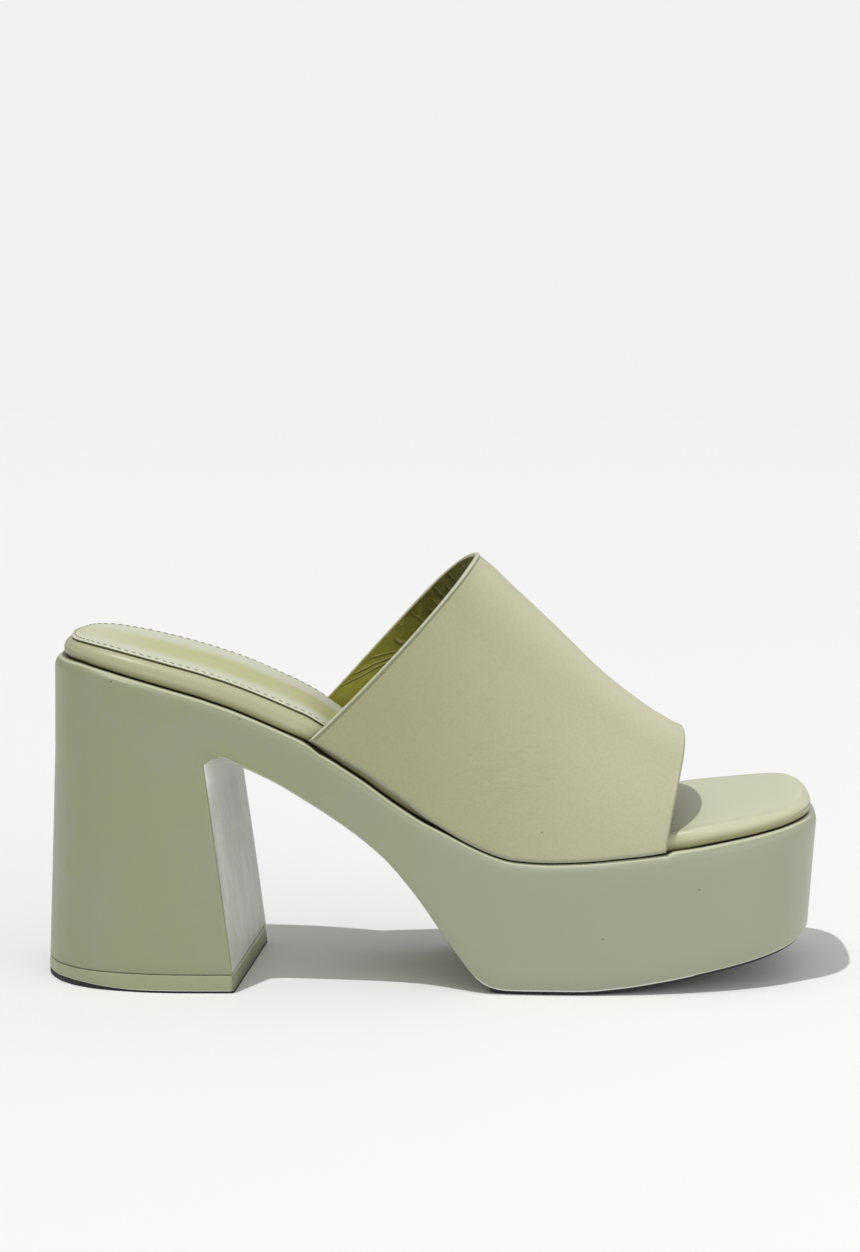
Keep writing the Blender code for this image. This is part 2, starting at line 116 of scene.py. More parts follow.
PLAN = (
    PlanRow("heel_back", -112.5, 1.2, -112.5, 1.2),
    PlanRow("heel_back_curve", -111.2, -9.6, -111.2, 12.2),
    PlanRow("heel_corner", -106.6, -19.3, -106.6, 22.4),
    PlanRow("heel_side_back", -98.5, -26.4, -98.5, 28.4),
    PlanRow("heel_widest", -84.0, -31.4, -83.0, 31.8),
    PlanRow("breast", -66.0, -33.2, -60.0, 31.4),
    PlanRow("waist_back", -48.0, -33.3, -42.0, 28.6),
    PlanRow("waist", -30.0, -32.8, -24.0, 26.3),
    PlanRow("arch", -12.0, -33.2, -8.0, 26.6),
    PlanRow("ball_back", 6.0, -35.0, 10.0, 31.2),
    PlanRow("ball_lateral", 24.0, -37.2, 28.0, 38.4),
    PlanRow("ball_widest", 42.0, -38.2, 46.0, 43.4),
    PlanRow("ball_medial", 60.0, -37.8, 63.0, 45.4),
    PlanRow("toe_base", 78.0, -35.6, 80.0, 45.0),
    PlanRow("toe_side", 94.0, -31.2, 94.0, 43.2),
    PlanRow("toe_corner_back", 105.0, -25.6, 105.0, 40.2),
    PlanRow("toe_corner", 111.6, -18.8, 112.2, 35.2),
    PlanRow("toe_corner_front", 115.4, -10.0, 115.9, 27.4),
    PlanRow("toe_front_side", 116.8, -0.5, 117.1, 18.6),
    PlanRow("toe_front", 117.3, 9.0, 117.3, 9.0),
)
BREAST_SECTION = 5

SIDE = (
    SideRow(-116.0, 96.1, 68.0, -0.014),
    SideRow(-110.0, 96.8, 68.0, -0.014),
    SideRow(-104.0, 96.6, 68.0, -0.014),
    SideRow(-97.0, 95.3, 68.0, -0.014),
    SideRow(-90.0, 93.6, 68.0, -0.014),
    SideRow(-76.0, 89.9, 68.0, 0.000),
    SideRow(-66.0, 87.0, 68.0, 0.014),
    SideRow(-63.5, 86.1, 69.8, 0.018),
    SideRow(-61.0, 85.3, 70.2, 0.020),
    SideRow(-57.0, 83.8, 68.5, 0.024),
    SideRow(-45.0, 78.6, 62.7, 0.034),
    SideRow(-36.0, 74.2, 57.1, 0.040),
    SideRow(-28.0, 68.7, 51.8, 0.045),
    SideRow(-19.0, 62.7, 45.1, 0.050),
    SideRow(-12.5, 57.9, 39.2, 0.053),
    SideRow(-7.0, 54.2, 32.8, 0.055),
    SideRow(-2.0, 51.1, 26.2, 0.056),
    SideRow(2.5, 48.9, 19.4, 0.058),
    SideRow(6.5, 46.9, 13.8, 0.060),
    SideRow(11.0, 44.6, 7.5, 0.060),
    SideRow(15.0, 42.8, 3.5, 0.060),
    SideRow(19.5, 41.1, 1.8, 0.060),
    SideRow(24.0, 40.0, 1.5, 0.060),
    SideRow(34.0, 39.4, 1.5, 0.060),
    SideRow(44.0, 39.7, 1.5, 0.060),
    SideRow(56.0, 40.7, 2.4, 0.060),
    SideRow(68.0, 41.9, 4.2, 0.060),
    SideRow(82.0, 44.3, 6.8, 0.060),
    SideRow(94.0, 46.1, 9.1, 0.060),
    SideRow(103.0, 47.6, 11.2, 0.062),
    SideRow(110.0, 48.9, 13.4, 0.066),
    SideRow(114.0, 49.4, 15.4, 0.068),
    SideRow(118.0, 49.7, 17.9, 0.070),
)

HEEL = (
    HeelRow(5.6, 0.0),
    HeelRow(15.0, 0.02),
    HeelRow(28.0, 0.02),
    HeelRow(42.0, 0.02),
    HeelRow(56.0, 0.0),
    HeelRow(72.0, 0.0),
)

FOOTBED = (
    FootbedRow(-116.0, 2.9, 4.6, 0.0),
    FootbedRow(-109.0, 2.8, 4.8, 0.0),
    FootbedRow(-103.0, 2.6, 5.2, 0.0),
    FootbedRow(-96.0, 2.4, 5.8, 0.0),
    FootbedRow(-86.0, 2.3, 6.2, 0.0),
    FootbedRow(-67.0, 2.3, 6.5, 0.0),
    FootbedRow(-45.0, 2.3, 7.0, 0.0),
    FootbedRow(-39.5, 2.8, 7.1, 0.0),
    FootbedRow(-36.5, 3.7, 7.2, 0.0),
    FootbedRow(-30.0, 3.7, 7.4, 0.0),
    FootbedRow(0.0, 3.7, 7.0, 0.2),
    FootbedRow(40.0, 3.7, 6.2, 0.3),
    FootbedRow(66.0, 3.7, 5.8, 0.3),
    FootbedRow(71.5, 3.7, 5.9, 0.3),
    FootbedRow(76.0, 2.7, 5.9, 0.3),
    FootbedRow(84.0, 2.2, 5.8, 0.3),
    FootbedRow(98.0, 2.0, 5.4, 0.4),
    FootbedRow(110.0, 1.9, 5.0, 0.8),
    FootbedRow(114.0, 1.85, 4.8, 0.6),
    FootbedRow(118.0, 1.8, 4.7, 0.1),
)

INSTEP = (
    InstepRow(-40.0, 192.0, 0.3, 2.0, 1.05, 1.00),
    InstepRow(-30.0, 183.0, 1.9, 2.0, 1.05, 1.00),
    InstepRow(-20.0, 172.0, 2.4, 2.0, 1.05, 1.00),
    InstepRow(-10.0, 160.5, 2.6, 2.0, 1.05, 1.00),
    InstepRow(0.0, 148.0, 1.2, 2.0, 1.05, 1.00),
    InstepRow(8.0, 135.8, 0.4, 2.0, 1.06, 1.00),
    InstepRow(14.0, 127.0, 0.3, 2.0, 1.07, 1.00),
    InstepRow(19.5, 122.0, 0.3, 2.0, 1.07, 1.00),
    InstepRow(25.0, 116.6, 0.3, 2.0, 1.07, 1.00),
    InstepRow(31.0, 110.9, 0.3, 1.8, 1.06, 1.00),
    InstepRow(37.0, 105.2, 0.3, 1.5, 1.05, 1.00),
    InstepRow(43.0, 99.3, 0.3, 1.2, 1.04, 1.00),
    InstepRow(49.5, 92.75, 0.3, 0.9, 1.02, 0.99),
    InstepRow(55.5, 87.4, 0.3, 0.6, 1.00, 0.98),
    InstepRow(61.0, 83.05, 0.3, 0.3, 0.98, 0.97),
    InstepRow(68.5, 77.65, 0.5, 0.0, 0.96, 0.96),
    InstepRow(76.5, 73.0, 0.6, 0.0, 0.95, 0.95),
    InstepRow(84.0, 69.5, 0.6, 0.0, 0.95, 0.95),
)

COLLAR = (
    CollarRow(-37.0, 73.5),
    CollarRow(-29.5, 80.6),
    CollarRow(-21.0, 89.0),
    CollarRow(-9.0, 101.4),
    CollarRow(3.0, 114.4),
    CollarRow(9.0, 120.9),
    CollarRow(14.3, 126.8),
    CollarRow(22.0, 135.0),
)


# Curves read from the tables


def ease(x: Numbers, start: float, end: float) -> Numbers:
    """Share that rises smoothly from 0 at start to 1 at end."""
    t = np.clip((np.asarray(x, float) - start) / (end - start), 0.0, 1.0)
    return t * t * (3 - 2 * t)


def bump(x: Numbers, middle: float, width: float) -> Numbers:
    """Bell of height 1 round the middle; width is where it has fallen to about a third."""
    return np.exp(-(((np.asarray(x, float) - middle) / width) ** 2))


class Curve:
    """Smooth curve through one column of a table, which keeps to the rows without overshoot."""

    def __init__(self, rows: Sequence[Any], column: str, against: str = "x") -> None:
        """Works out the slope at each row.

        Args:
            rows: The table, in order of the column of places.
            column: Name of the column to read.
            against: Name of the column of places.
        """
        self.places = np.array([getattr(row, against) for row in rows], float)
        self.values = np.array([getattr(row, column) for row in rows], float)
        slopes = np.diff(self.values) / np.diff(self.places)
        before, after = slopes[:-1], slopes[1:]
        product = before * after
        total = np.where(product > 0, before + after, 1.0)
        inner = np.where(product > 0, 2 * product / total, 0.0)
        self.tangents = np.concatenate([slopes[:1], inner, slopes[-1:]])

    def __call__(self, x: Numbers) -> Numbers:
        """Value of the curve at x, a number or an array."""
        x = np.clip(np.asarray(x, float), self.places[0], self.places[-1])
        at = np.clip(np.searchsorted(self.places, x) - 1, 0, len(self.places) - 2)
        width = self.places[at + 1] - self.places[at]
        t = (x - self.places[at]) / width
        rise = (1 + 2 * t) * (1 - t) ** 2 * self.values[at] + t * t * (3 - 2 * t) * self.values[at + 1]
        leave = t * (1 - t) ** 2 * width * self.tangents[at]
        arrive = t * t * (t - 1) * width * self.tangents[at + 1]
        return rise + leave + arrive


def closed_curve(points: np.ndarray, steps: int) -> np.ndarray:
    """Points of a smooth closed curve through the given ones.

    Args:
        points: Corner points in order, one row each.
        steps: Points from each corner to the next.

    Returns:
        The fine loop, one row for each point.
    """
    before, after = np.roll(points, 1, axis=0), np.roll(points, -1, axis=0)
    second = np.roll(points, -2, axis=0)
    gap = np.linalg.norm(after - points, axis=1)[:, None]
    gap_before = np.linalg.norm(points - before, axis=1)[:, None]
    gap_after = np.linalg.norm(second - after, axis=1)[:, None]
    leave = (after - before) / (gap + gap_before) * gap
    arrive = (second - points) / (gap_after + gap) * gap
    pieces = []
    for k in range(steps):
        t = k / steps
        start = (1 + 2 * t) * (1 - t) ** 2 * points + t * (1 - t) ** 2 * leave
        pieces.append(start + t * t * (3 - 2 * t) * after + t * t * (t - 1) * arrive)
    return np.stack(pieces, axis=1).reshape(-1, 2)


class Side(Enum):
    """The two sides of the shoe."""

    LATERAL = "lateral"
    MEDIAL = "medial"


def rim_loop(steps: int) -> np.ndarray:
    """Loop through the plan's places, with this many points from each to the next."""
    lateral = [(row.lateral_x, row.lateral_y) for row in PLAN]
    medial = [(row.medial_x, row.medial_y) for row in PLAN[1:-1]]
    return closed_curve(np.array(lateral + medial[::-1]), steps)


class Outline:
    """Plan of the sole at its rim: a loop from the heel's back by the outer side to the toe and back."""

    def __init__(self, steps: int) -> None:
        """Builds the loop.

        Args:
            steps: Points from one section to the next.
        """
        self.loop = rim_loop(steps)
        along = np.roll(self.loop, -1, axis=0) - np.roll(self.loop, 1, axis=0)
        along /= np.linalg.norm(along, axis=1)[:, None]
        self.inward = np.stack([-along[:, 1], along[:, 0]], axis=1)
        self.half = (len(PLAN) - 1) * steps
        self.breast = BREAST_SECTION * steps

    def around(self, inset: Numbers = 0.0) -> np.ndarray:
        """Closed loop moved inwards, with its first point repeated at the end."""
        amount = np.broadcast_to(np.asarray(inset, float), (2 * self.half + 1,))
        at = np.arange(2 * self.half + 1) % (2 * self.half)
        return self.loop[at] + self.inward[at] * amount[:, None]

    def halves(self, ring: np.ndarray) -> tuple[np.ndarray, np.ndarray]:
        """Outer and inner half of a ring, both from the heel's back to the toe."""
        return ring[: self.half + 1], ring[::-1][: self.half + 1]

    def along_side(self, side: Side, inset: Numbers = 0.0) -> np.ndarray:
        """Points of one side from the heel's back to the toe, moved inwards."""
        outer, inner = self.halves(self.around(inset))
        return outer if side is Side.LATERAL else inner

    def y_at(self, x: Numbers, side: Side, inset: float) -> Numbers:
        """Sideways place of one side at x."""
        points = self.along_side(side, inset)
        return np.interp(x, points[:, 0], points[:, 1])


OUTLINE = Outline(steps=8)
TOP = Curve(SIDE, "top")
UNDERSIDE = Curve(SIDE, "underside")
LEAN = Curve(SIDE, "lean")
FOOTBED_INSET = Curve(FOOTBED, "inset")
FOOTBED_HEIGHT = Curve(FOOTBED, "height")
FOOTBED_CROWN = Curve(FOOTBED, "crown")
RIM_RADIUS = 3.0
TOUCH_GAP = 0.3
SOLID_STEPS = 3


def frame_shift() -> np.ndarray:
    """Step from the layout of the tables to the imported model's frame, from the sole unit's own box."""
    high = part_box("sole_unit")[1]
    most = rim_loop(SOLID_STEPS).max(axis=0)
    return np.array([high.x / MM - most[0], high.y / MM - most[1], 0.0])


SHIFT = frame_shift()


def to_frame(points: np.ndarray) -> np.ndarray:
    """Points of the tables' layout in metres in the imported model's frame."""
    return (np.asarray(points, float) + SHIFT) * MM


def footbed_top(x: Numbers, across: Numbers = 0.0) -> Numbers:
    """Height of the footbed's upper face; across runs from 0 at one side to 1 at the other."""
    crown = FOOTBED_CROWN(x) * (1 - (2 * np.asarray(across) - 1) ** 4)
    return TOP(x) + FOOTBED_HEIGHT(x) + crown


# Mesh helpers


def lay_grid(bm: bmesh.types.BMesh, points: np.ndarray, layers: dict[str, np.ndarray] | None = None,
             material: int = 0) -> list[bmesh.types.BMVert]:
    """Adds a grid and lays its corners on a surface.

    Args:
        bm: Mesh to add to.
        points: Places of the corners, as rows by columns by three, in millimetres.
        layers: Numbers to keep with each corner, by name.
        material: Material index of the faces.

    Returns:
        The grid's corners.
    """
    rows, columns = points.shape[:2]
    made = bmesh.ops.create_grid(bm, x_segments=columns - 1, y_segments=rows - 1, size=0.5)["verts"]
    placed = to_frame(points)
    known = bm.verts.layers.float
    stores = {name: known.get(name) or known.new(name) for name in layers or {}}
    if stores:
        made = list(bm.verts)[-rows * columns:]
    for vert in made:
        row = round((vert.co.y + 0.5) * (rows - 1))
        column = round((vert.co.x + 0.5) * (columns - 1))
        vert.co = placed[row, column]
        for name, store in stores.items():
            vert[store] = float(layers[name][row, column])
    if material:
        for face in {face for vert in made for face in vert.link_faces}:
            face.material_index = material
    return made


def weld(bm: bmesh.types.BMesh, distance: float = 0.002) -> None:
    """Merges corners that meet, drops faces with no area and turns all faces outwards.

    Args:
        bm: Mesh to close.
        distance: Corners nearer than this, in millimetres, become one.
    """
    bmesh.ops.remove_doubles(bm, verts=bm.verts, dist=distance * MM)
    bmesh.ops.dissolve_degenerate(bm, edges=bm.edges, dist=distance * MM * 0.5)
    bmesh.ops.recalc_face_normals(bm, faces=bm.faces)


def round_edges(bm: bmesh.types.BMesh, edges: list[bmesh.types.BMEdge], radius: float,
                segments: int) -> None:
    """Rounds edges with a bevel of this radius in millimetres."""
    bmesh.ops.bevel(bm, geom=edges, offset=radius * MM, offset_type="OFFSET", segments=segments, profile=0.5,
                    affect="EDGES", clamp_overlap=True, material=-1)


def open_edges(bm: bmesh.types.BMesh) -> list[bmesh.types.BMEdge]:
    """Edges with a face on one side only."""
    return [edge for edge in bm.edges if edge.is_boundary]


def close_up(bm: bmesh.types.BMesh) -> None:
    """Merges the seams, fills what is still open and turns all faces outwards."""
    weld(bm)
    bmesh.ops.holes_fill(bm, edges=open_edges(bm), sides=0)
    bmesh.ops.recalc_face_normals(bm, faces=bm.faces)


def bridge(near: np.ndarray, far: np.ndarray, steps: int) -> np.ndarray:
    """Grid of points with one row from each near point to its far one."""
    shares = np.linspace(0.0, 1.0, steps + 1)[None, :, None]
    return near[:, None] + (far - near)[:, None] * shares


def rounded_corner(before: np.ndarray, tip: np.ndarray, after: np.ndarray) -> np.ndarray:
    """Seven points round a corner, between two points beside its tip."""
    t = np.linspace(0.0, 1.0, 7)[:, None]
    return before * (1 - t) ** 2 + tip * 2 * t * (1 - t) + after * t * t


def lengths_along(points: np.ndarray) -> np.ndarray:
    """Distance run along a line of points, from 0 at the first."""
    steps = np.linalg.norm(np.diff(points, axis=0), axis=-1)
    return np.concatenate([np.zeros_like(steps[:1]), np.cumsum(steps, axis=0)])


def resample(points: np.ndarray, count: int) -> np.ndarray:
    """The same line with its points at even distances."""
    run = lengths_along(points)
    at = np.linspace(0.0, run[-1], count)
    return np.stack([np.interp(at, run, points[:, k]) for k in range(points.shape[1])], axis=1)


def finish_piece(name: str, bm: bmesh.types.BMesh, materials: Sequence[bpy.types.Material],
                 stands_for: Sequence[str] = (), sharp: float = 40.0) -> bpy.types.Object:
    """Turns a mesh into a piece of the shoe.

    Args:
        name: Name of the piece.
        bm: Its finished mesh, which is freed here.
        materials: Its materials, in the order of the faces' indices.
        stands_for: CAD nodes that it replaces.
        sharp: Angle in degrees from which an edge is drawn sharp.

    Returns:
        The new object, which rides on the shoe's one body.
    """
    for face in bm.faces:
        face.smooth = True
    mesh = bpy.data.meshes.new(name)
    bm.to_mesh(mesh)
    bm.free()
    for material in materials:
        mesh.materials.append(material)
    mesh.set_sharp_from_angle(angle=math.radians(sharp))
    piece = bpy.data.objects.new(name, mesh)
    bpy.context.scene.collection.objects.link(piece)
    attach(piece, "root")
    if stands_for:
        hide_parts(*stands_for)
    LOG.info("%s: %d faces", name, len(mesh.polygons))
    return piece


# Materials

Colour = tuple[float, float, float]
Span = tuple[float, float]


class Waves(NamedTuple):
    """A noise: waves to the millimetre, octaves, how rough they are and how each axis is scaled."""

    scale: float
    detail: float = 2.0
    rough: float = 0.5
    stretch: tuple[float, float, float] | None = None


class Strip(NamedTuple):
    """A strip of colour over a number that runs across it: where it fades in, and out if it does."""

    fade_in: Span
    share: float
    colour: Colour
    fade_out: Span | None = None


class Crease(NamedTuple):
    """A crease of the lining: share over the band, start and end from the collar, and lean."""

    over: float
    first: float
    last: float
    lean: float


def linear(colour: Sequence[float]) -> tuple[float, float, float, float]:
    """Screen colour, 0 to 255 a channel, as the linear colour that shaders use."""
    shares = [part / 255 for part in colour]
    parts = [share / 12.92 if share <= 0.04045 else ((share + 0.055) / 1.055) ** 2.4 for share in shares]
    return (parts[0], parts[1], parts[2], 1.0)


class Graph:
    """Node tree of one material or world, with one method that adds any node."""

    def __init__(self, tree: bpy.types.NodeTree) -> None:
        """Clears the tree."""
        self.tree = tree
        tree.nodes.clear()

    def node(self, kind: str, settings: dict[str, Any] | None = None, **sockets: Any) -> bpy.types.Node:
        """Adds a node.

        Args:
            kind: Blender's type name of the node.
            settings: Its properties, set first.
            sockets: Values or links of its inputs, by name with _ for a space, or by s and a number.

        Returns:
            The node.
        """
        made = self.tree.nodes.new(kind)
        for name, value in (settings or {}).items():
            setattr(made, name, value)
        for name, value in sockets.items():
            numbered = name[0] == "s" and name[1:].isdigit()
            socket = made.inputs[int(name[1:])] if numbered else made.inputs[name.replace("_", " ")]
            if isinstance(value, Value):
                value = value.socket
            if isinstance(value, bpy.types.NodeSocket):
                self.tree.links.new(value, socket)
            else:
                socket.default_value = value
        return made

    def value(self, kind: str, settings: dict[str, Any] | None = None, output: str | int = 0,
              **sockets: Any) -> "Value":
        """Adds a node and wraps one of its outputs as a number."""
        return Value(self, self.node(kind, settings, **sockets).outputs[output])

    def mix(self, share: Any, first: Any, second: Any) -> bpy.types.NodeSocket:
        """Colour that goes from the first to the second as share rises from 0 to 1."""
        made = self.node("ShaderNodeMix", {"data_type": "RGBA"}, s0=share, s6=first, s7=second)
        return made.outputs[2]

    def paint(self, colour: Any, across: "Value", strip: Strip, mask: Any = None) -> bpy.types.NodeSocket:
        """Lays a strip of colour over the colour so far.

        Args:
            colour: The colour so far.
            across: The number that runs across the strip.
            strip: Limits, strength and colour of the strip.
            mask: Where the strip shows; everywhere if it is left out.

        Returns:
            The new colour.
        """
        share = across.within(strip) * strip.share
        return self.mix(share if mask is None else share * mask, colour, linear(strip.colour))

    def noise(self, place: Any, waves: Waves) -> "Value":
        """Even noise from about 0 to 1."""
        if waves.stretch:
            place = self.stretched(place, waves.stretch)
        return self.value("ShaderNodeTexNoise", {"noise_dimensions": "3D"}, Vector=place,
                          Scale=waves.scale / MM, Detail=waves.detail, Roughness=waves.rough)

    def cells(self, place: Any, scale: float) -> "Value":
        """Distance to the nearest of scattered points, with this many cells to the millimetre."""
        return self.value("ShaderNodeTexVoronoi", {"feature": "F1"}, output="Distance", Vector=place,
                          Scale=scale / MM)

    def stretched(self, place: Any, scale: tuple[float, float, float]) -> bpy.types.NodeSocket:
        """The place with each axis scaled, so that a pattern runs longer one way."""
        return self.node("ShaderNodeMapping", {"vector_type": "POINT"}, Vector=place, Scale=scale).outputs[0]

    def axis(self, place: Any, name: str) -> "Value":
        """One coordinate of the place, in millimetres."""
        return self.value("ShaderNodeSeparateXYZ", output=name, Vector=place) / MM

    def distance(self, place: Any, point: Sequence[float], scale: tuple[float, float, float]) -> "Value":
        """Distance in millimetres to a point, with each axis scaled."""
        goal = tuple(part * share * MM for part, share in zip(point, scale))
        return self.value("ShaderNodeVectorMath", {"operation": "DISTANCE"}, output="Value",
                          s0=self.stretched(place, scale), s1=goal) / MM

    def attribute(self, name: str) -> "Value":
        """A number that the mesh keeps with its corners."""
        return self.value("ShaderNodeAttribute", {"attribute_type": "GEOMETRY", "attribute_name": name},
                          output="Fac")


class Value:
    """A number in a node tree; arithmetic on it adds Math nodes."""

    def __init__(self, graph: Graph, socket: bpy.types.NodeSocket) -> None:
        """Wraps a socket of the graph."""
        self.graph = graph
        self.socket = socket

    def math(self, operation: str, *others: Any, swap: bool = False) -> "Value":
        """Adds one Math node.

        Args:
            operation: Name of the operation.
            others: The other numbers or values.
            swap: True to put this value last.

        Returns:
            The result.
        """
        terms = [*others, self] if swap else [self, *others]
        return self.graph.value("ShaderNodeMath", {"operation": operation},
                                **{f"s{k}": term for k, term in enumerate(terms)})

    def __add__(self, other: Any) -> "Value":
        """Sum."""
        return self.math("ADD", other)

    __radd__ = __add__

    def __sub__(self, other: Any) -> "Value":
        """Difference."""
        return self.math("SUBTRACT", other)

    def __rsub__(self, other: Any) -> "Value":
        """Difference with this value taken away."""
        return self.math("SUBTRACT", other, swap=True)

    def __mul__(self, other: Any) -> "Value":
        """Product."""
        return self.math("MULTIPLY", other)

    __rmul__ = __mul__

    def __truediv__(self, other: Any) -> "Value":
        """Quotient."""
        return self.math("DIVIDE", other)

    def rise(self, start: float, end: float) -> "Value":
        """Share that rises smoothly from 0 at start to 1 at end; start may be the larger."""
        low, high, first, last = (start, end, 0.0, 1.0) if start < end else (end, start, 1.0, 0.0)
        return self.graph.value(
            "ShaderNodeMapRange",
            {"interpolation_type": "SMOOTHSTEP", "clamp": True},
            s0=self, s1=low, s2=high, s3=first, s4=last,
        )

    def within(self, strip: Strip) -> "Value":
        """Share that is 1 inside the strip and 0 outside it."""
        inside = self.rise(*strip.fade_in)
        return inside * self.rise(*strip.fade_out) if strip.fade_out else inside


@dataclass(frozen=True)
class Finish:
    """Base of every finish: a base colour, how rough it is and how thick a clear coat it has."""

    name: str
    colour: Colour
    roughness: float
    coat: float = 0.0
    coat_roughness: float = 0.3
    refraction: float = 1.5

    def build(self) -> bpy.types.Material:
        """Makes the material."""
        material = bpy.data.materials.new(self.name)
        material.use_nodes = True
        graph = Graph(material.node_tree)
        place = graph.node("ShaderNodeTexCoord").outputs["Object"]
        colour, rough, height = self.surface(graph, place)
        normal = graph.node("ShaderNodeBump", None, Strength=1.0, Distance=MM, Height=height).outputs[0]
        shader = graph.node("ShaderNodeBsdfPrincipled", None, Base_Color=colour, Roughness=rough,
                            Normal=normal, IOR=self.refraction, Coat_Weight=self.coat,
                            Coat_Roughness=self.coat_roughness)
        graph.node("ShaderNodeOutputMaterial", None, Surface=shader.outputs[0])
        return material

    def surface(self, graph: Graph, place: Any) -> tuple[Any, Any, Any]:
        """Colour, roughness and height in millimetres over the surface."""
        raise NotImplementedError


@dataclass(frozen=True)
class Leather(Finish):
    """Smooth coloured leather with a very fine grain, faint clouds of colour and a few pores.

    Pores are given by their places along and above the shoe and lie on the outer side.
    """

    cloud: float = 0.05
    grain: float = 0.010
    grain_size: float = 0.45
    tint: Colour = (190, 192, 150)
    clouds: Waves = Waves(0.045, 3.0, 0.55)
    fine: Waves = Waves(0.9, 2.0, 0.6)
    fine_share: float = 1.2
    swell: float = 0.12
    pores: tuple[tuple[float, float], ...] = ()
    pore: Strip = Strip((0.45, 0.15), 0.6, (84, 84, 60))
    pore_depth: float = 0.10
    outer_side: Span = (0.0, -10.0)

    def surface(self, graph: Graph, place: Any) -> tuple[Any, Any, Any]:
        """Colour, roughness and height in millimetres over the surface."""
        clouds = graph.noise(place, self.clouds)
        fine = graph.noise(place, self.fine)
        pebbles = graph.cells(place, 1.0 / self.grain_size)
        height = pebbles * self.grain + fine * (self.grain * self.fine_share) + clouds * self.swell
        share = (clouds - 0.5) * (self.cloud * 8.0) + (fine - 0.5) * (self.cloud * 1.5) + 0.5
        base = linear(self.colour)
        light = tuple(min(part * (1 + self.cloud), 1.0) for part in base[:3]) + (1.0,)
        dark = tuple(part * (1 - self.cloud) for part in base[:3]) + (1.0,)
        colour = graph.mix(share.rise(0.0, 1.0), dark, light)
        colour, height = self.details(graph, place, colour, height)
        for x, z in self.pores:
            away = graph.distance(place, (x, 0.0, z), (1.0, 0.0, 1.0))
            outer = graph.axis(place, "Y").rise(*self.outer_side)
            colour = graph.paint(colour, away, self.pore, outer)
            height = height - away.within(self.pore) * outer * self.pore_depth
        rough = self.roughness + (fine - 0.5) * 0.10 + (clouds - 0.5) * 0.12
        return colour, rough, height

    def details(self, graph: Graph, place: Any, colour: Any, height: Any) -> tuple[Any, Any]:
        """Colour and height after what is special to one piece is added."""
        return colour, height


@dataclass(frozen=True)
class SoleLeather(Leather):
    """Wrap of the sole with painted light: paler to the toe, painted shade in the crevice at the footbed,
    and painted highlights on its rim and along its lower edge.
    """

    patches: Waves = Waves(0.065)
    patch: Strip = Strip((0.44, 0.60), 0.5, (149, 152, 132))
    # Painted light: the wrap goes over to the tint towards the toe, as if lit more strongly there.
    lit_toward_toe: Span = (-55.0, 25.0)
    # Painted shade: dark in the crevice under the footbed's edge.
    crevice_shade: Strip = Strip((2.15, 2.45), 0.9, (64, 60, 34))
    # Painted highlight: a pale line on the rim just below the crevice.
    rim: Strip = Strip((0.85, 1.35), 0.55, (228, 230, 198), (2.2, 1.85))
    # Painted highlight: a pale line along the wrap's lower edge.
    lower_edge_highlight: Strip = Strip((0.62, 0.38), 0.75, (230, 232, 222))

    def details(self, graph: Graph, place: Any, colour: Any, height: Any) -> tuple[Any, Any]:
        """Adds the patches, the painted light that makes it paler to the toe, the painted shade in the
        crevice, the painted highlight on the rim and the painted highlight along the lower edge.
        """
        inset = graph.attribute("inset")
        colour = graph.paint(colour, graph.noise(place, self.patches), self.patch)
        # Painted light: paler towards the toe.
        colour = graph.mix(graph.axis(place, "X").rise(*self.lit_toward_toe), colour, linear(self.tint))
        # Painted shade in the crevice.
        colour = graph.paint(colour, inset, self.crevice_shade)
        # Painted highlight on the rim.
        colour = graph.paint(colour, inset, self.rim)
        # Painted highlight along the lower edge.
        return graph.paint(colour, graph.attribute("rise"), self.lower_edge_highlight), height


@dataclass(frozen=True)
class LiftLeather(Leather):
    """Wrap of the heel's last layer, pleated, with painted shade where it turns round to the front, in its
    pleats and at the front's foot, and painted highlights on the front's top and along its lower edge.
    """

    pleats: Waves = Waves(1.1, 3.0, 0.6, (0.3, 1.0, 0.12))
    # Painted shade: darker in the pleats of the front.
    pleat_shade: Strip = Strip((0.40, 0.62), 0.65, (96, 98, 62))
    pleat_depth: float = 0.45
    # Painted shade: the front is darker, tinted this way.
    front_shade_share: float = 0.35
    front_shade_tint: Colour = (112, 116, 74)
    # Painted shade: darker at the foot of the front.
    front_foot_shade: Strip = Strip((3.0, 0.6), 0.6, (66, 68, 40))
    # Painted highlight: a pale line along the top of the front.
    front_top_highlight: Strip = Strip((4.15, 4.6), 0.6, (206, 207, 186))
    # Painted highlight: a pale line along the lower edge at the sides and back.
    lower_edge_highlight: Strip = Strip((0.42, 0.20), 0.7, (222, 223, 212))

    def details(self, graph: Graph, place: Any, colour: Any, height: Any) -> tuple[Any, Any]:
        """Adds the pleats with painted shade in them, the painted shade on the front and at its foot, the
        painted highlight on its top, and the painted highlight along the lower edge.
        """
        front, rise = graph.attribute("front"), graph.attribute("rise")
        pleats = graph.noise(place, self.pleats)
        # Painted shade in the pleats.
        colour = graph.paint(colour, pleats, self.pleat_shade, front)
        # Painted shade over the whole front.
        colour = graph.mix(front * self.front_shade_share, colour, linear(self.front_shade_tint))
        # Painted shade at the front's foot.
        colour = graph.paint(colour, rise, self.front_foot_shade, front)
        # Painted highlight on the front's top.
        colour = graph.paint(colour, rise, self.front_top_highlight, front)
        # Painted highlight along the lower edge.
        colour = graph.paint(colour, rise, self.lower_edge_highlight, 1.0 - front)
        return colour, height + front * pleats * self.pleat_depth


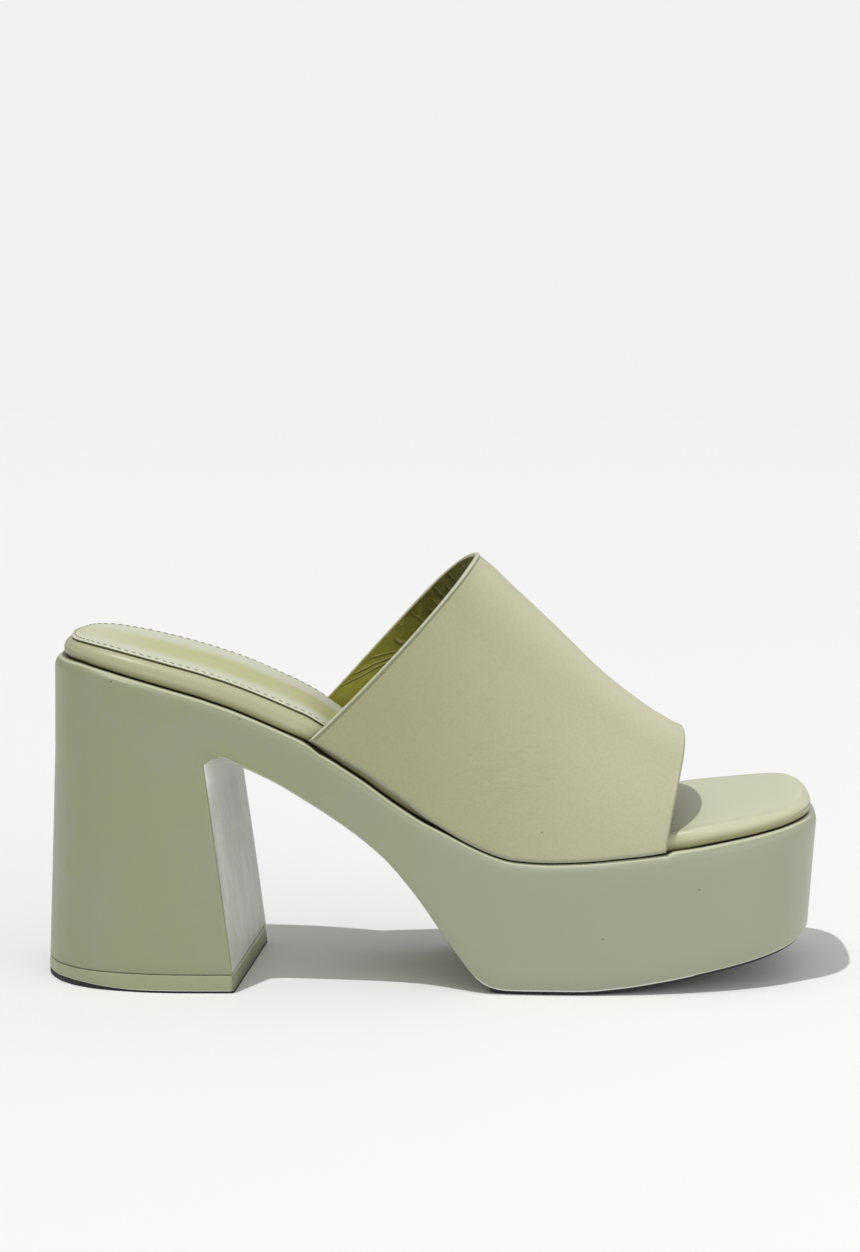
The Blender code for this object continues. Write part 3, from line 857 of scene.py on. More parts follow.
@dataclass(frozen=True)
class FootbedLeather(Leather):
    """Wrap of the footbed with painted light: paler on top and on the toe's roll, painted shade on its
    rolled side and at its foot.
    """

    # Painted light: the top, away from the edge, goes over to the paler tint.
    flat: Span = (0.0, 7.0)
    # Painted light: the roll at the toe is paler too.
    toe: Span = (64.0, 80.0)
    toe_roll: Span = (1.6, 4.4)
    toe_lit_share: float = 0.6
    # Painted shade on the rolled side.
    side_shade: Strip = Strip((3.2, 1.0), 0.72, (124, 122, 74))
    # Painted shade: dark at the foot, in the crevice above the sole.
    crevice_shade: Strip = Strip((0.65, 0.42), 0.9, (56, 52, 28))

    def details(self, graph: Graph, place: Any, colour: Any, height: Any) -> tuple[Any, Any]:
        """Adds the painted light on the top and on the roll at the toe, and the painted shade on the side
        and at the foot.
        """
        up = graph.attribute("up")
        # Painted light on the top.
        colour = graph.mix(graph.attribute("edge").rise(*self.flat), colour, linear(self.tint))
        # Painted light on the roll at the toe.
        toe = graph.axis(place, "X").rise(*self.toe) * up.rise(*self.toe_roll) * self.toe_lit_share
        colour = graph.mix(toe, colour, linear(self.tint))
        # Painted shade on the side.
        colour = graph.paint(colour, up, self.side_shade)
        # Painted shade at the foot.
        return graph.paint(colour, up, self.crevice_shade), height


@dataclass(frozen=True)
class BandLeather(Leather):
    """The band's leather: painted light that makes it paler to the front and over the top, turned edges, a
    groove with painted shade in it, a painted highlight on the collar's lip, puckers beside the groove, and
    a faint break in the middle with painted shade in its wrinkles.
    """

    # Painted light: paler to the front and over the top.
    lit_along: Span = (-30.0, 72.0)
    lit_over: Span = (0.27, 0.45)
    # Painted shade in the groove beside the collar's bead.
    groove: Strip = Strip((0.45, 0.70), 0.5, (110, 120, 94), (1.6, 1.1))
    # Painted highlight on the collar's lip.
    lip: Strip = Strip((0.60, 0.35), 0.45, (230, 231, 212))
    lower_edge: Strip = Strip((1.5, 0.8), 0.75, (160, 162, 147))
    front_edge: Strip = Strip((0.85, 0.50), 0.8, (142, 151, 132))
    mottle: Waves = Waves(1.3, 3.0, 0.65)
    mottle_shade: Strip = Strip((0.40, 0.66), 0.09, (118, 116, 74))
    mottle_depth: float = 0.03
    puckers: Waves = Waves(1.4, 1.0)
    pucker_reach: tuple[Span, Span] = ((1.1, 1.6), (4.2, 2.2))
    pucker_depth: float = 0.16
    wrinkles: Waves = Waves(0.9, 2.0, 0.6, (0.25, 1.0, 1.6))
    wrinkle_shade: Strip = Strip((0.50, 0.36), 0.12, (120, 118, 76))
    wrinkle_depth: float = 0.10
    worn_place: tuple[float, float, float] = (22.0, -38.0, 66.0)
    worn_scale: tuple[float, float, float] = (0.7, 0.4, 1.0)
    worn_reach: Span = (16.0, 3.0)

    def details(self, graph: Graph, place: Any, colour: Any, height: Any) -> tuple[Any, Any]:
        """Adds the painted light on the top and to the front, the folded edges with painted shade in the
        groove and a painted highlight on the lip, the puckers and the break.
        """
        collar = graph.attribute("collar")
        over = graph.attribute("over")
        # Painted light: paler to the front and over the top.
        pale = graph.axis(place, "X").rise(*self.lit_along) * 0.5 + over.rise(*self.lit_over) * 0.5
        colour = graph.mix(pale, colour, linear(self.tint))
        # Painted shade in the groove.
        colour = graph.paint(colour, collar, self.groove)
        # Painted highlight on the lip.
        colour = graph.paint(colour, collar, self.lip)
        colour = graph.paint(colour, graph.attribute("low"), self.lower_edge)
        colour = graph.paint(colour, graph.attribute("front"), self.front_edge)
        mottle = graph.noise(place, self.mottle)
        colour = graph.paint(colour, mottle, self.mottle_shade)
        beside = collar.rise(*self.pucker_reach[0]) * collar.rise(*self.pucker_reach[1])
        height = height + beside * graph.noise(place, self.puckers) * self.pucker_depth
        wrinkles = graph.noise(place, self.wrinkles)
        worn = graph.distance(place, self.worn_place, self.worn_scale).rise(*self.worn_reach)
        height = height + mottle * self.mottle_depth + worn * wrinkles * self.wrinkle_depth
        return graph.paint(colour, wrinkles, self.wrinkle_shade, worn), height


@dataclass(frozen=True)
class LiningLeather(Leather):
    """Thin lining pulled over the band's inside, with fine creases that run away from the collar; its
    saturated olive colour is partly painted shade and bounce light.
    """

    creases: tuple[Crease, ...] = (
        Crease(0.642, 1.0, 8.0, 0.00),
        Crease(0.706, 0.6, 9.0, -0.05),
        Crease(0.738, 3.0, 12.0, -0.12),
        Crease(0.760, 0.6, 12.0, -0.10),
        Crease(0.782, 3.0, 13.0, -0.16),
        Crease(0.800, 4.0, 14.0, -0.10),
        Crease(0.826, 1.0, 13.0, -0.16),
        Crease(0.872, 3.0, 9.0, -0.12),
        Crease(0.924, 1.5, 8.0, -0.90),
        Crease(0.948, 0.6, 9.0, -1.10),
        Crease(0.968, 0.6, 9.0, -1.30),
    )
    crease_lit: Strip = Strip((-0.45, 0.0), 0.45, (184, 180, 128), (0.40, 0.0))
    crease_shade: Strip = Strip((0.1, 0.5), 0.50, (40, 38, 16), (1.1, 0.5))
    crease_depth: float = 0.12
    sway: Waves = Waves(0.22, 1.0)
    sway_width: float = 1.6
    girth: float = 125.0
    wrinkles: Waves = Waves(0.35, 3.0, 0.6, (1.0, 0.35, 1.0))
    # Painted highlight: where the soft wrinkles rise through this span the lining goes over to its paler
    # tint.
    wrinkle_highlight_reach: Span = (0.52, 0.72)
    wrinkle_depth: float = 0.35
    # Painted highlight: strength of the paler tint on the wrinkles' crests.
    wrinkle_highlight_share: float = 0.45
    high_shade: Strip = Strip((86.0, 116.0), 0.85, (88, 85, 33))
    deep_shade: Strip = Strip((4.0, 13.0), 0.55, (44, 42, 16))
    turned_edge: Strip = Strip((0.55, 0.30), 0.8, (206, 206, 174))
    far_side: Span = (0.45, 0.60)

    def details(self, graph: Graph, place: Any, colour: Any, height: Any) -> tuple[Any, Any]:
        """Adds the painted shade high up, soft wrinkles with painted highlights on their crests, the creases
        with their painted light and shade, the painted shade inside and the turned edge of the far side.
        """
        collar = graph.attribute("collar")
        over = graph.attribute("over")
        colour = graph.paint(colour, graph.axis(place, "Z"), self.high_shade)
        wrinkles = graph.noise(place, self.wrinkles)
        height = height + wrinkles * self.wrinkle_depth
        # Painted highlight on the wrinkles' crests.
        share = wrinkles.rise(*self.wrinkle_highlight_reach) * self.wrinkle_highlight_share
        colour = graph.mix(share, colour, linear(self.tint))
        across = over * self.girth + graph.noise(place, self.sway) * self.sway_width
        for crease in self.creases:
            away = across - collar * crease.lean - (crease.over * self.girth + self.sway_width / 2)
            reach = collar.rise(crease.first, crease.first + 1.0)
            reach = reach * collar.rise(crease.last, crease.last - 3.0)
            colour = graph.paint(colour, away, self.crease_lit, reach)
            colour = graph.paint(colour, away, self.crease_shade, reach)
            step = away.within(self.crease_lit) - away.within(self.crease_shade)
            height = height + step * reach * self.crease_depth
        colour = graph.paint(colour, collar, self.deep_shade)
        return graph.paint(colour, collar, self.turned_edge, over.rise(*self.far_side)), height


@dataclass(frozen=True)
class SockLeather(Leather):
    """Soft sock lining, yellower down its middle."""

    # Noise that makes the middle unevenly yellower.
    yellow_waves: Waves = Waves(0.05)
    middle: tuple[Span, Span] = ((0.05, 0.32), (0.78, 0.50))
    behind: Span = (-112.0, -70.0)
    behind_share: float = 0.35

    def details(self, graph: Graph, place: Any, colour: Any, height: Any) -> tuple[Any, Any]:
        """Adds the yellower middle, which is weaker at the heel's back."""
        across = graph.attribute("across")
        middle = across.rise(*self.middle[0]) * across.rise(*self.middle[1])
        uneven = graph.noise(place, self.yellow_waves) * 0.7 + 0.6
        along = graph.axis(place, "X").rise(*self.behind) * (1 - self.behind_share) + self.behind_share
        return graph.mix(middle * uneven * along, colour, linear(self.tint)), height


@dataclass(frozen=True)
class CoverLeather(Leather):
    """Cover of the heel's front: silvery grey, partly its own glossy finish and partly painted reflection,
    streaked downwards where it was pulled and glued, and with painted light making it paler towards its top.
    """

    streaks: Waves = Waves(0.8, 5.0, 0.7, (0.6, 1.0, 0.22))
    streak_reach: Span = (0.38, 0.62)
    streak_depth: float = 0.12
    bands: Waves = Waves(0.13, 2.0, 0.5, (0.5, 0.8, 0.3))
    band_reach: Span = (0.40, 0.62)
    band_depth: float = 0.25
    share: float = 0.45
    # Painted light: paler towards the top, against the shade under the arch.
    lit_top: Strip = Strip((54.0, 66.0), 1.0, (250, 250, 247))

    def details(self, graph: Graph, place: Any, colour: Any, height: Any) -> tuple[Any, Any]:
        """Adds streaks that run down and the painted light that makes the top pale."""
        streaks, bands = graph.noise(place, self.streaks), graph.noise(place, self.bands)
        share = streaks.rise(*self.streak_reach) * self.share + bands.rise(*self.band_reach) * self.share
        # The paler silvery tint of the streaks is partly painted reflection.
        colour = graph.mix(share, colour, linear(self.tint))
        # Painted light on the top.
        colour = graph.paint(colour, graph.axis(place, "Z"), self.lit_top)
        return colour, height + streaks * self.streak_depth + bands * self.band_depth


@dataclass(frozen=True)
class Rubber(Finish):
    """Black moulded rubber with a fine matt skin and a little dust."""

    specks: Waves = Waves(2.2, 2.0, 0.6)
    speck_depth: float = 0.05
    dust: Waves = Waves(0.12, 3.0, 0.6)
    dust_light: float = 0.02

    def surface(self, graph: Graph, place: Any) -> tuple[Any, Any, Any]:
        """Colour, roughness and height in millimetres over the surface."""
        specks = graph.noise(place, self.specks)
        base = linear(self.colour)
        pale = tuple(part + self.dust_light for part in base[:3]) + (1.0,)
        colour = graph.mix(graph.noise(place, self.dust).rise(0.35, 0.75) * 0.8, base, pale)
        return colour, self.roughness + (specks - 0.5) * 0.2, specks * self.speck_depth


@dataclass(frozen=True)
class Plain(Finish):
    """Thread or a cut edge: one colour with fine flecks."""

    flecks: Waves = Waves(3.0, 2.0, 0.6)
    fleck_depth: float = 0.03
    darker: float = 0.75

    def surface(self, graph: Graph, place: Any) -> tuple[Any, Any, Any]:
        """Colour, roughness and height in millimetres over the surface."""
        flecks = graph.noise(place, self.flecks)
        base = linear(self.colour)
        dark = tuple(part * self.darker for part in base[:3]) + (1.0,)
        colour = graph.mix(flecks.rise(0.3, 0.7), dark, base)
        return colour, self.roughness + (flecks - 0.5) * 0.1, flecks * self.fleck_depth


# Sub-assemblies


@dataclass
class SoleUnit:
    """Heel block, arch and platform wrapped as one body."""

    top_inset: float = 9.0
    shelf_inset: float = 5.5
    turn_step: int = 15
    rear_step: float = -1.1
    rear_spans: tuple[Span, Span] = ((-35.4, -33.2), (-36.0, -28.0))
    front_step: float = 0.7
    front_spans: tuple[Span, Span] = ((68.8, 70.8), (68.0, 82.0))
    lip_drop: float = 0.35
    lip_spans: tuple[Span, Span] = ((10.0, 22.0), (56.0, 88.0))
    lip_power: int = 8
    edge_radius: float = 0.6
    edge_margin: float = 1.6
    heel_bottom: float = 5.6
    heel_foot_radius: float = 0.35
    breast_x: float = -62.0
    join_height: float = 68.0
    base_height: float = 1.0
    base_span: Span = (-112.0, -64.0)
    base_back: float = -2.65
    base_front: float = 9.0
    base_spread: float = 0.07
    back_x: float = -113.0
    back_middle: float = 1.8
    middle_turn: float = -0.05
    centre_x: float = -88.0
    across: int = 12
    no_edge: float = 9.0
    wall_shares: tuple[float, ...] = (0.15, 0.32, 0.5, 0.68, 0.84, 1.0)
    heel_heights: tuple[float, ...] = (62.0, 55.0, 48.0, 41.0, 34.0, 27.0, 20.0, 14.0, 9.5, 5.6)
    drawn_in: Curve = field(default_factory=lambda: Curve(HEEL, "drawn_in", "height"))

    def rim_step(self, x: Numbers) -> Numbers:
        """How much the rim steps down where the band passes between it and the footbed."""
        rear = ease(x, *self.rear_spans[0]) - ease(x, *self.rear_spans[1])
        front = ease(x, *self.front_spans[0]) - ease(x, *self.front_spans[1])
        return self.rear_step * rear + self.front_step * front

    def lip(self, x: Numbers) -> Numbers:
        """How far the wrap's lower edge reaches down beside the outsole."""
        return self.lip_drop * (ease(x, *self.lip_spans[0]) + ease(x, *self.lip_spans[1]))

    def ring(self, inset: Numbers, drop: float, step: float) -> np.ndarray:
        """Loop at this inset, this far below the sole's top."""
        flat = OUTLINE.around(inset)
        height = TOP(flat[:, 0]) - drop + self.rim_step(flat[:, 0]) * step
        return np.column_stack([flat, height])

    def turns(self) -> np.ndarray:
        """Angles of the rows round the rim, from level to upright."""
        return np.radians(np.arange(0, 91, self.turn_step))

    def wall(self) -> np.ndarray:
        """Rows from under the footbed over the rounded rim and down to the underside or the heel's join."""
        rows = [self.ring(self.top_inset, 0.0, 0.0), self.ring(self.shelf_inset, 0.0, 0.0)]
        for angle in self.turns():
            inset, drop = RIM_RADIUS * (1 - math.sin(angle)), RIM_RADIUS * (1 - math.cos(angle))
            rows.append(self.ring(inset, drop, 1.0))
        for share in self.wall_shares:
            flat = OUTLINE.around(0.0)
            for _ in range(2):
                x = flat[:, 0]
                upper = TOP(x) - RIM_RADIUS + self.rim_step(x) * (1 - share)
                height = upper * (1 - share) + UNDERSIDE(x) * share - self.lip(x) * share**self.lip_power
                fall = np.maximum(TOP(x) - RIM_RADIUS - height, 0.0)
                flat = OUTLINE.around(LEAN(x) * fall)
            rows.append(np.column_stack([flat, height]))
        return np.array(rows)

    def heel_points(self, start: np.ndarray, height: float, drawn_in: float) -> np.ndarray:
        """Points of the heel block below the given ones, at this height."""
        x, y = start[:, 0], start[:, 1]
        t = (self.join_height - height) / (self.join_height - self.base_height)
        middle = self.back_middle + self.middle_turn * (x - self.back_x)
        u = np.clip((x - self.base_span[0]) / (self.base_span[1] - self.base_span[0]), 0.0, 1.0)
        x = x + t * (self.base_back * (1 - u) + self.base_front * u) - self.centre_x
        y = (y - middle) * (1 + self.base_spread * t * (1 - u))
        scale = 1 - drawn_in / np.maximum(np.maximum(abs(y), abs(x)), 1.0)
        return np.column_stack([self.centre_x + x * scale, middle + y * scale, np.full_like(x, height)])

    def heel_start(self, join: np.ndarray) -> np.ndarray:
        """The join's points from the breast on the inner side round the back to the outer side."""
        at = np.arange(-OUTLINE.breast, OUTLINE.breast + 1) % (2 * OUTLINE.half)
        return join[at]

    def heel_rows(self, join: np.ndarray) -> np.ndarray:
        """Rows of the heel block from its join to its foot."""
        start = self.heel_start(join)
        rows = [start]
        for height in self.heel_heights:
            rows.append(self.heel_points(start, height, float(self.drawn_in(height))))
        return np.array(rows)

    def under_row(self, near: np.ndarray, far: np.ndarray, near_in: np.ndarray, far_in: np.ndarray,
                  height: Callable[[Numbers], Numbers] | None) -> np.ndarray:
        """One row across the underside, with a narrow strip at each side for the rounded edge.

        Args:
            near: Point on the outer side.
            far: Point on the inner side.
            near_in: Where the strip at the outer side ends.
            far_in: Where the strip at the inner side ends.
            height: Height of the row between the strips, or None for a level line.

        Returns:
            The row's points.
        """
        inner = near_in + (far_in - near_in) * np.linspace(0.0, 1.0, self.across + 1)[:, None]
        if height is not None:
            inner[:, 2] = height(inner[:, 0])
        return np.vstack([near, inner, far])

    def under_rows(self, wall: np.ndarray, heel: np.ndarray) -> np.ndarray:
        """Rows from the heel's foot up its front, then along the arch and the platform to the toe."""
        rows = []
        for ring in heel[:0:-1]:
            near, far = ring[-1], ring[0]
            step = (far - near) / np.linalg.norm(far - near) * self.edge_margin
            rows.append(self.under_row(near, far, near + step, far - step, None))
        x = wall[-1][:, 0]
        inner = OUTLINE.around(LEAN(x) * (TOP(x) - RIM_RADIUS - UNDERSIDE(x)) + self.edge_margin)
        inner = np.column_stack([inner, UNDERSIDE(inner[:, 0])])
        outer_half, inner_half = OUTLINE.halves(wall[-1])
        outer_in, inner_in = OUTLINE.halves(inner)
        for k in range(OUTLINE.breast, OUTLINE.half + 1):
            rows.append(self.under_row(outer_half[k], inner_half[k], outer_in[k], inner_in[k], UNDERSIDE))
        return np.array(rows)

    def build(self, wrap: bpy.types.Material) -> np.ndarray:
        """Builds the wrapped body.

        Args:
            wrap: Its leather.

        Returns:
            Rows of the heel block, for the cover of its front.
        """
        bm = bmesh.new()
        wall = self.wall()
        heel = self.heel_rows(wall[-1])
        under = self.under_rows(wall, heel)
        inset = np.zeros(wall.shape[:2])
        inset[0], inset[1] = self.top_inset, self.shelf_inset
        inset[2:2 + len(self.turns())] = (RIM_RADIUS * (1 - np.sin(self.turns())))[:, None]
        rise = wall[:, :, 2] - UNDERSIDE(wall[:, :, 0]) + self.lip(wall[:, :, 0])
        rise[:, wall[-1][:, 0] < self.breast_x] = self.no_edge
        lay_grid(bm, wall, {"inset": inset, "rise": rise})
        plain = np.full(heel.shape[:2], self.no_edge)
        lay_grid(bm, heel, {"inset": 0 * plain, "rise": plain})
        plain = np.full(under.shape[:2], self.no_edge)
        for column, side in zip((0, -1), OUTLINE.halves(rise[-1])):
            edge = side[OUTLINE.breast:]
            plain[-len(edge):, column] = edge
        lay_grid(bm, under, {"inset": 0 * plain, "rise": plain}, material=1)
        cap = bridge(*OUTLINE.halves(wall[0]), self.across)
        cap[:, :, 2] = TOP(cap[:, :, 0])
        deep = np.full(cap.shape[:2], self.top_inset)
        lay_grid(bm, cap, {"inset": deep, "rise": deep})
        close_up(bm)
        foot = (self.heel_bottom + 0.01) * MM
        chain = [
            edge for edge in bm.edges
            if len({face.material_index for face in edge.link_faces}) == 2
            and max(vert.co.z for vert in edge.verts) > foot
        ]
        round_edges(bm, chain, self.edge_radius, 3)
        for face in bm.faces:
            face.material_index = 0
        foot_edges = [
            edge for edge in bm.edges
            if max(vert.co.z for vert in edge.verts) < foot and edge.calc_face_angle(0.0) > 1.0
        ]
        round_edges(bm, foot_edges, self.heel_foot_radius, 2)
        bmesh.ops.recalc_face_normals(bm, faces=bm.faces)
        finish_piece("sole_wrap_body", bm, [wrap], ["sole_unit"], sharp=50.0)
        return heel


@dataclass
class HeelCover:
    """Thin sheet glued over the heel's front, with a wavy top edge."""

    heights: tuple[Span, Span] = ((6.3, 62.0), (64.0, 69.0))
    rows: tuple[int, int] = (24, 5)
    columns: int = 25
    margin: float = 1.0
    wave: float = 0.9
    wave_span: Span = (50.0, 69.0)
    out: float = 0.25
    ripple: float = 0.10
    ripple_span: Span = (8.0, 30.0)
    thick: float = 0.5
    edge_radius: float = 0.2

    def sheet(self, heel: np.ndarray) -> np.ndarray:
        """Grid of points just in front of the heel's front."""
        shares = np.linspace(0.0, 1.0, self.columns)
        waves = np.sin(shares * 9.0) * 0.5 + np.sin(shares * 21.0 + 1.0) * 0.3
        levels = np.concatenate([np.linspace(*span, count) for span, count in zip(self.heights, self.rows)])
        rows = []
        for level in levels:
            near, far = [
                np.array([np.interp(level, line[::-1, 2], line[::-1, k]) for k in (0, 1)])
                for line in (heel[:, -1], heel[:, 0])
            ]
            step = (far - near) / np.linalg.norm(far - near) * self.margin
            flat = (near + step) + (far - near - 2 * step) * shares[:, None]
            lift = ease(level, *self.wave_span) * self.wave * waves
            ripple = self.ripple * np.sin(shares * 13.0 + level * 0.05) * ease(level, *self.ripple_span)
            rows.append(np.column_stack([flat[:, 0] + self.out + ripple, flat[:, 1], level + lift]))
        return np.array(rows)

    def build(self, heel: np.ndarray, cover: bpy.types.Material) -> None:
        """Builds the cover.

        Args:
            heel: Rows of the heel block.
            cover: Leather of the sheet.
        """
        bm = bmesh.new()
        lay_grid(bm, self.sheet(heel))
        weld(bm)
        front = sum((face.normal for face in bm.faces), Vector())
        if front.x < 0:
            bmesh.ops.reverse_faces(bm, faces=bm.faces)
        bmesh.ops.solidify(bm, geom=bm.faces[:], thickness=self.thick * MM)
        bmesh.ops.recalc_face_normals(bm, faces=bm.faces)
        rim = [edge for edge in bm.edges if edge.calc_face_angle(0.0) > 1.0]
        round_edges(bm, rim, self.edge_radius, 2)
        finish_piece("heel_front_cover", bm, [cover])


@dataclass
class HeelFoot:
    """Layers under the heel block: the wrapped lift and the rubber top piece with its serrated edge.

    Profiles are pairs of height and inset; the rubber's third number is how deep its teeth are.
    """

    sole: SoleUnit
    lift_upper: tuple[Span, ...] = ((5.42, 1.6), (5.42, 0.34), (5.32, 0.10), (5.08, 0.0), (3.6, -0.04))
    lift_lower: tuple[Span, ...] = ((0.45, 0.0), (0.12, 0.08), (0.0, 0.3), (0.0, 1.6))
    rubber: tuple[tuple[float, float, float], ...] = (
        (1.0, 1.8, 0.0), (1.0, 0.34, 1.0), (0.88, 0.14, 1.0), (0.35, 0.10, 1.0), (0.1, 0.16, 0.3),
        (0.0, 0.45, 0.0), (0.0, 2.5, 0.0),
    )
    back_low: float = 1.7
    front_low: float = 0.6
    sink_span: Span = (-109.0, -86.0)
    corner_radius: float = 1.3
    tooth_pitch: float = 1.7
    tooth_depth: float = 0.16
    points_per_tooth: int = 6
    points: int = 240

    def loop(self, height: float, inset: float, count: int) -> np.ndarray:
        """Closed outline of the heel at this height with rounded front corners, its points evenly spaced."""
        start = self.sole.heel_start(self.sole.wall()[-1])
        side = self.sole.heel_points(start, height, inset)
        far, near = side[0], side[-1]
        front = (far - near) / np.linalg.norm(far - near)
        r = self.corner_radius
        run = lengths_along(side)
        keep = side[(run > r) & (run < run[-1] - r)]
        first = np.array([np.interp(r, run, side[:, k]) for k in range(3)])
        last = np.array([np.interp(run[-1] - r, run, side[:, k]) for k in range(3)])
        far_corner = rounded_corner(far - front * r, far, first)
        near_corner = rounded_corner(last, near, near + front * r)
        whole = np.vstack([far_corner, keep, near_corner, far_corner[:1]])
        return resample(whole, count)

    def on_seam(self, ring: np.ndarray, up: float) -> np.ndarray:
        """The ring at this height above the seam between lift and top piece, which sinks to the front."""
        seam = self.back_low + (self.front_low - self.back_low) * ease(ring[:, 0], *self.sink_span)
        return np.column_stack([ring[:, :2], seam + up])

    def layer(self, name: str, rings: Sequence[np.ndarray], material: bpy.types.Material,
              node: str) -> None:
        """Makes one flat layer, closed above and below.

        Args:
            name: Name of the piece.
            rings: Its rings, top first.
            material: Its material.
            node: The CAD node that it replaces.
        """
        bm = bmesh.new()
        grid = np.array(rings)
        seam = self.on_seam(grid[0], 0.0)[:, 2]
        along = np.gradient(grid[0], axis=0)
        front = ease(along[:, 1] / np.linalg.norm(along, axis=1), 0.7, 0.97)
        lay_grid(bm, grid, {"rise": grid[:, :, 2] - seam, "front": np.broadcast_to(front, grid.shape[:2])})
        close_up(bm)
        finish_piece(name, bm, [material], [node], sharp=45.0)

    def build(self, wrap: bpy.types.Material, rubber: bpy.types.Material) -> None:
        """Builds the lift and the top piece.

        Args:
            wrap: Leather of the lift.
            rubber: Rubber of the top piece.
        """
        rings = [self.loop(height, inset, self.points) for height, inset in self.lift_upper]
        rings += [self.on_seam(self.loop(1.5, inset, self.points), up) for up, inset in self.lift_lower]
        self.layer("heel_lift_wrap", rings, wrap, "heel_lift")
        teeth = round(lengths_along(self.loop(1.0, 0.0, 400))[-1] / self.tooth_pitch)
        count = self.points_per_tooth * teeth + 1
        wave = np.clip(np.sin(np.arange(count) * 2 * math.pi / self.points_per_tooth) * 1.4, -1.0, 1.0)
        rings = []
        for share, inset, deep in self.rubber:
            ring = self.on_seam(self.loop(0.6, inset, count), -0.02)
            ring[:, 2] *= share
            away = (ring - ring.mean(axis=0)) * np.array([1.0, 1.0, 0.0])
            away /= np.linalg.norm(away, axis=1)[:, None]
            rings.append(ring - away * (0.5 + 0.5 * wave[:, None]) * self.tooth_depth * deep)
        self.layer("heel_top_rubber", rings, rubber, "heel_top_piece")


@dataclass
class Outsole:
    """Thin rubber under the platform, flat at the ball and rising to the toe.

    The profile of its edge is pairs of inset and distance below its top.
    """

    start_x: float = 17.0
    thick: float = 1.2
    inset: float = 1.3
    across: int = 14
    profile: tuple[Span, ...] = ((0.9, 0.0), (0.2, 0.0), (0.04, 0.1), (0.0, 0.3), (0.0, 0.85), (0.1, 1.08),
                                 (0.35, 1.2), (1.4, 1.2))

    def rings(self) -> np.ndarray:
        """Loops round the outsole, one for each pair of the profile."""
        x = OUTLINE.around()[:, 0]
        base = LEAN(x) * (TOP(x) - RIM_RADIUS - UNDERSIDE(x)) + self.inset
        loops = []
        for inset, drop in self.profile:
            flat = OUTLINE.around(base + inset)
            loops.append(np.column_stack([flat, UNDERSIDE(flat[:, 0]) - TOUCH_GAP - drop]))
        return np.array(loops)

    def build(self, rubber: bpy.types.Material) -> None:
        """Builds the outsole from closed sections, one for each point of the outline."""
        lateral = OUTLINE.along_side(Side.LATERAL)
        first = int(np.argmax(lateral[:, 0] > self.start_x))
        shares = np.linspace(0.0, 1.0, self.across + 1)[1:-1, None]
        rings = self.rings()
        sections = []
        for k in range(first, OUTLINE.half + 1):
            near, far = rings[:, k], rings[:, 2 * OUTLINE.half - k]
            top = near[0] + (far[0] - near[0]) * shares
            top[:, 2] = UNDERSIDE(top[:, 0]) - TOUCH_GAP
            bottom = far[-1] + (near[-1] - far[-1]) * shares
            bottom[:, 2] = UNDERSIDE(bottom[:, 0]) - TOUCH_GAP - self.thick
            sections.append(np.vstack([top, far, bottom, near[::-1], top[:1]]))
        bm = bmesh.new()
        lay_grid(bm, np.array(sections))
        close_up(bm)
        finish_piece("platform_outsole", bm, [rubber], ["forefoot_outsole"])


@dataclass
class Footbed:
    """Board and foam wrapped in leather, with a rounded edge all round.

    The profile of its foot is pairs of inset and height over the sole.
    """

    edge_radius: float = 2.5
    radius_share: float = 0.62
    crown_inset: float = 4.0
    crown_margin: float = 6.0
    turns: int = 9
    foot: tuple[Span, ...] = ((0.0, 2.4), (0.0, 1.0), (0.2, 0.45), (0.7, 0.0), (4.0, 0.0))
    across: int = 20

    def build(self, wrap: bpy.types.Material) -> None:
        """Builds the wrapped board."""
        x = OUTLINE.around()[:, 0]
        inset, height = FOOTBED_INSET(x), FOOTBED_HEIGHT(x)
        radius = np.minimum(self.edge_radius, height * self.radius_share)
        crowned = OUTLINE.around(self.crown_inset)[:, 1]
        width = np.abs(crowned[::-1] - crowned) + self.crown_margin
        start = np.arctan(8.0 * FOOTBED_CROWN(x) / width)
        rings, edge = [], []
        for share in np.linspace(0.0, 1.0, self.turns):
            angle = start + (math.pi / 2 - start) * share
            edge.append(radius * (1 - np.sin(angle)))
            flat = OUTLINE.around(inset + edge[-1])
            top = footbed_top(flat[:, 0]) - radius * (np.cos(start) - np.cos(angle))
            rings.append(np.column_stack([flat, top]))
        for extra, up in self.foot:
            flat = OUTLINE.around(inset + extra)
            edge.append(0 * radius)
            rings.append(np.column_stack([flat, TOP(flat[:, 0]) + TOUCH_GAP + up]))
        grid = np.array(rings)
        bm = bmesh.new()
        lay_grid(bm, grid, {"edge": np.array(edge), "up": grid[:, :, 2] - TOP(grid[:, :, 0])})
        shares = np.linspace(0.0, 1.0, self.across + 1)[None, :]
        for ring, is_top in ((rings[0], True), (rings[-1], False)):
            near, far = OUTLINE.halves(ring)
            cap = bridge(near, far, self.across)
            x = cap[:, :, 0]
            cap[:, :, 2] = footbed_top(x, shares) if is_top else TOP(x) + TOUCH_GAP
            wide = np.linalg.norm(far - near, axis=1)[:, None]
            inside = self.edge_radius + np.minimum(shares, 1 - shares) * wide
            lay_grid(bm, cap, {"edge": inside, "up": cap[:, :, 2] - TOP(x)})
        weld(bm)
        finish_piece("footbed_wrap", bm, [wrap], ["footbed"], sharp=60.0)


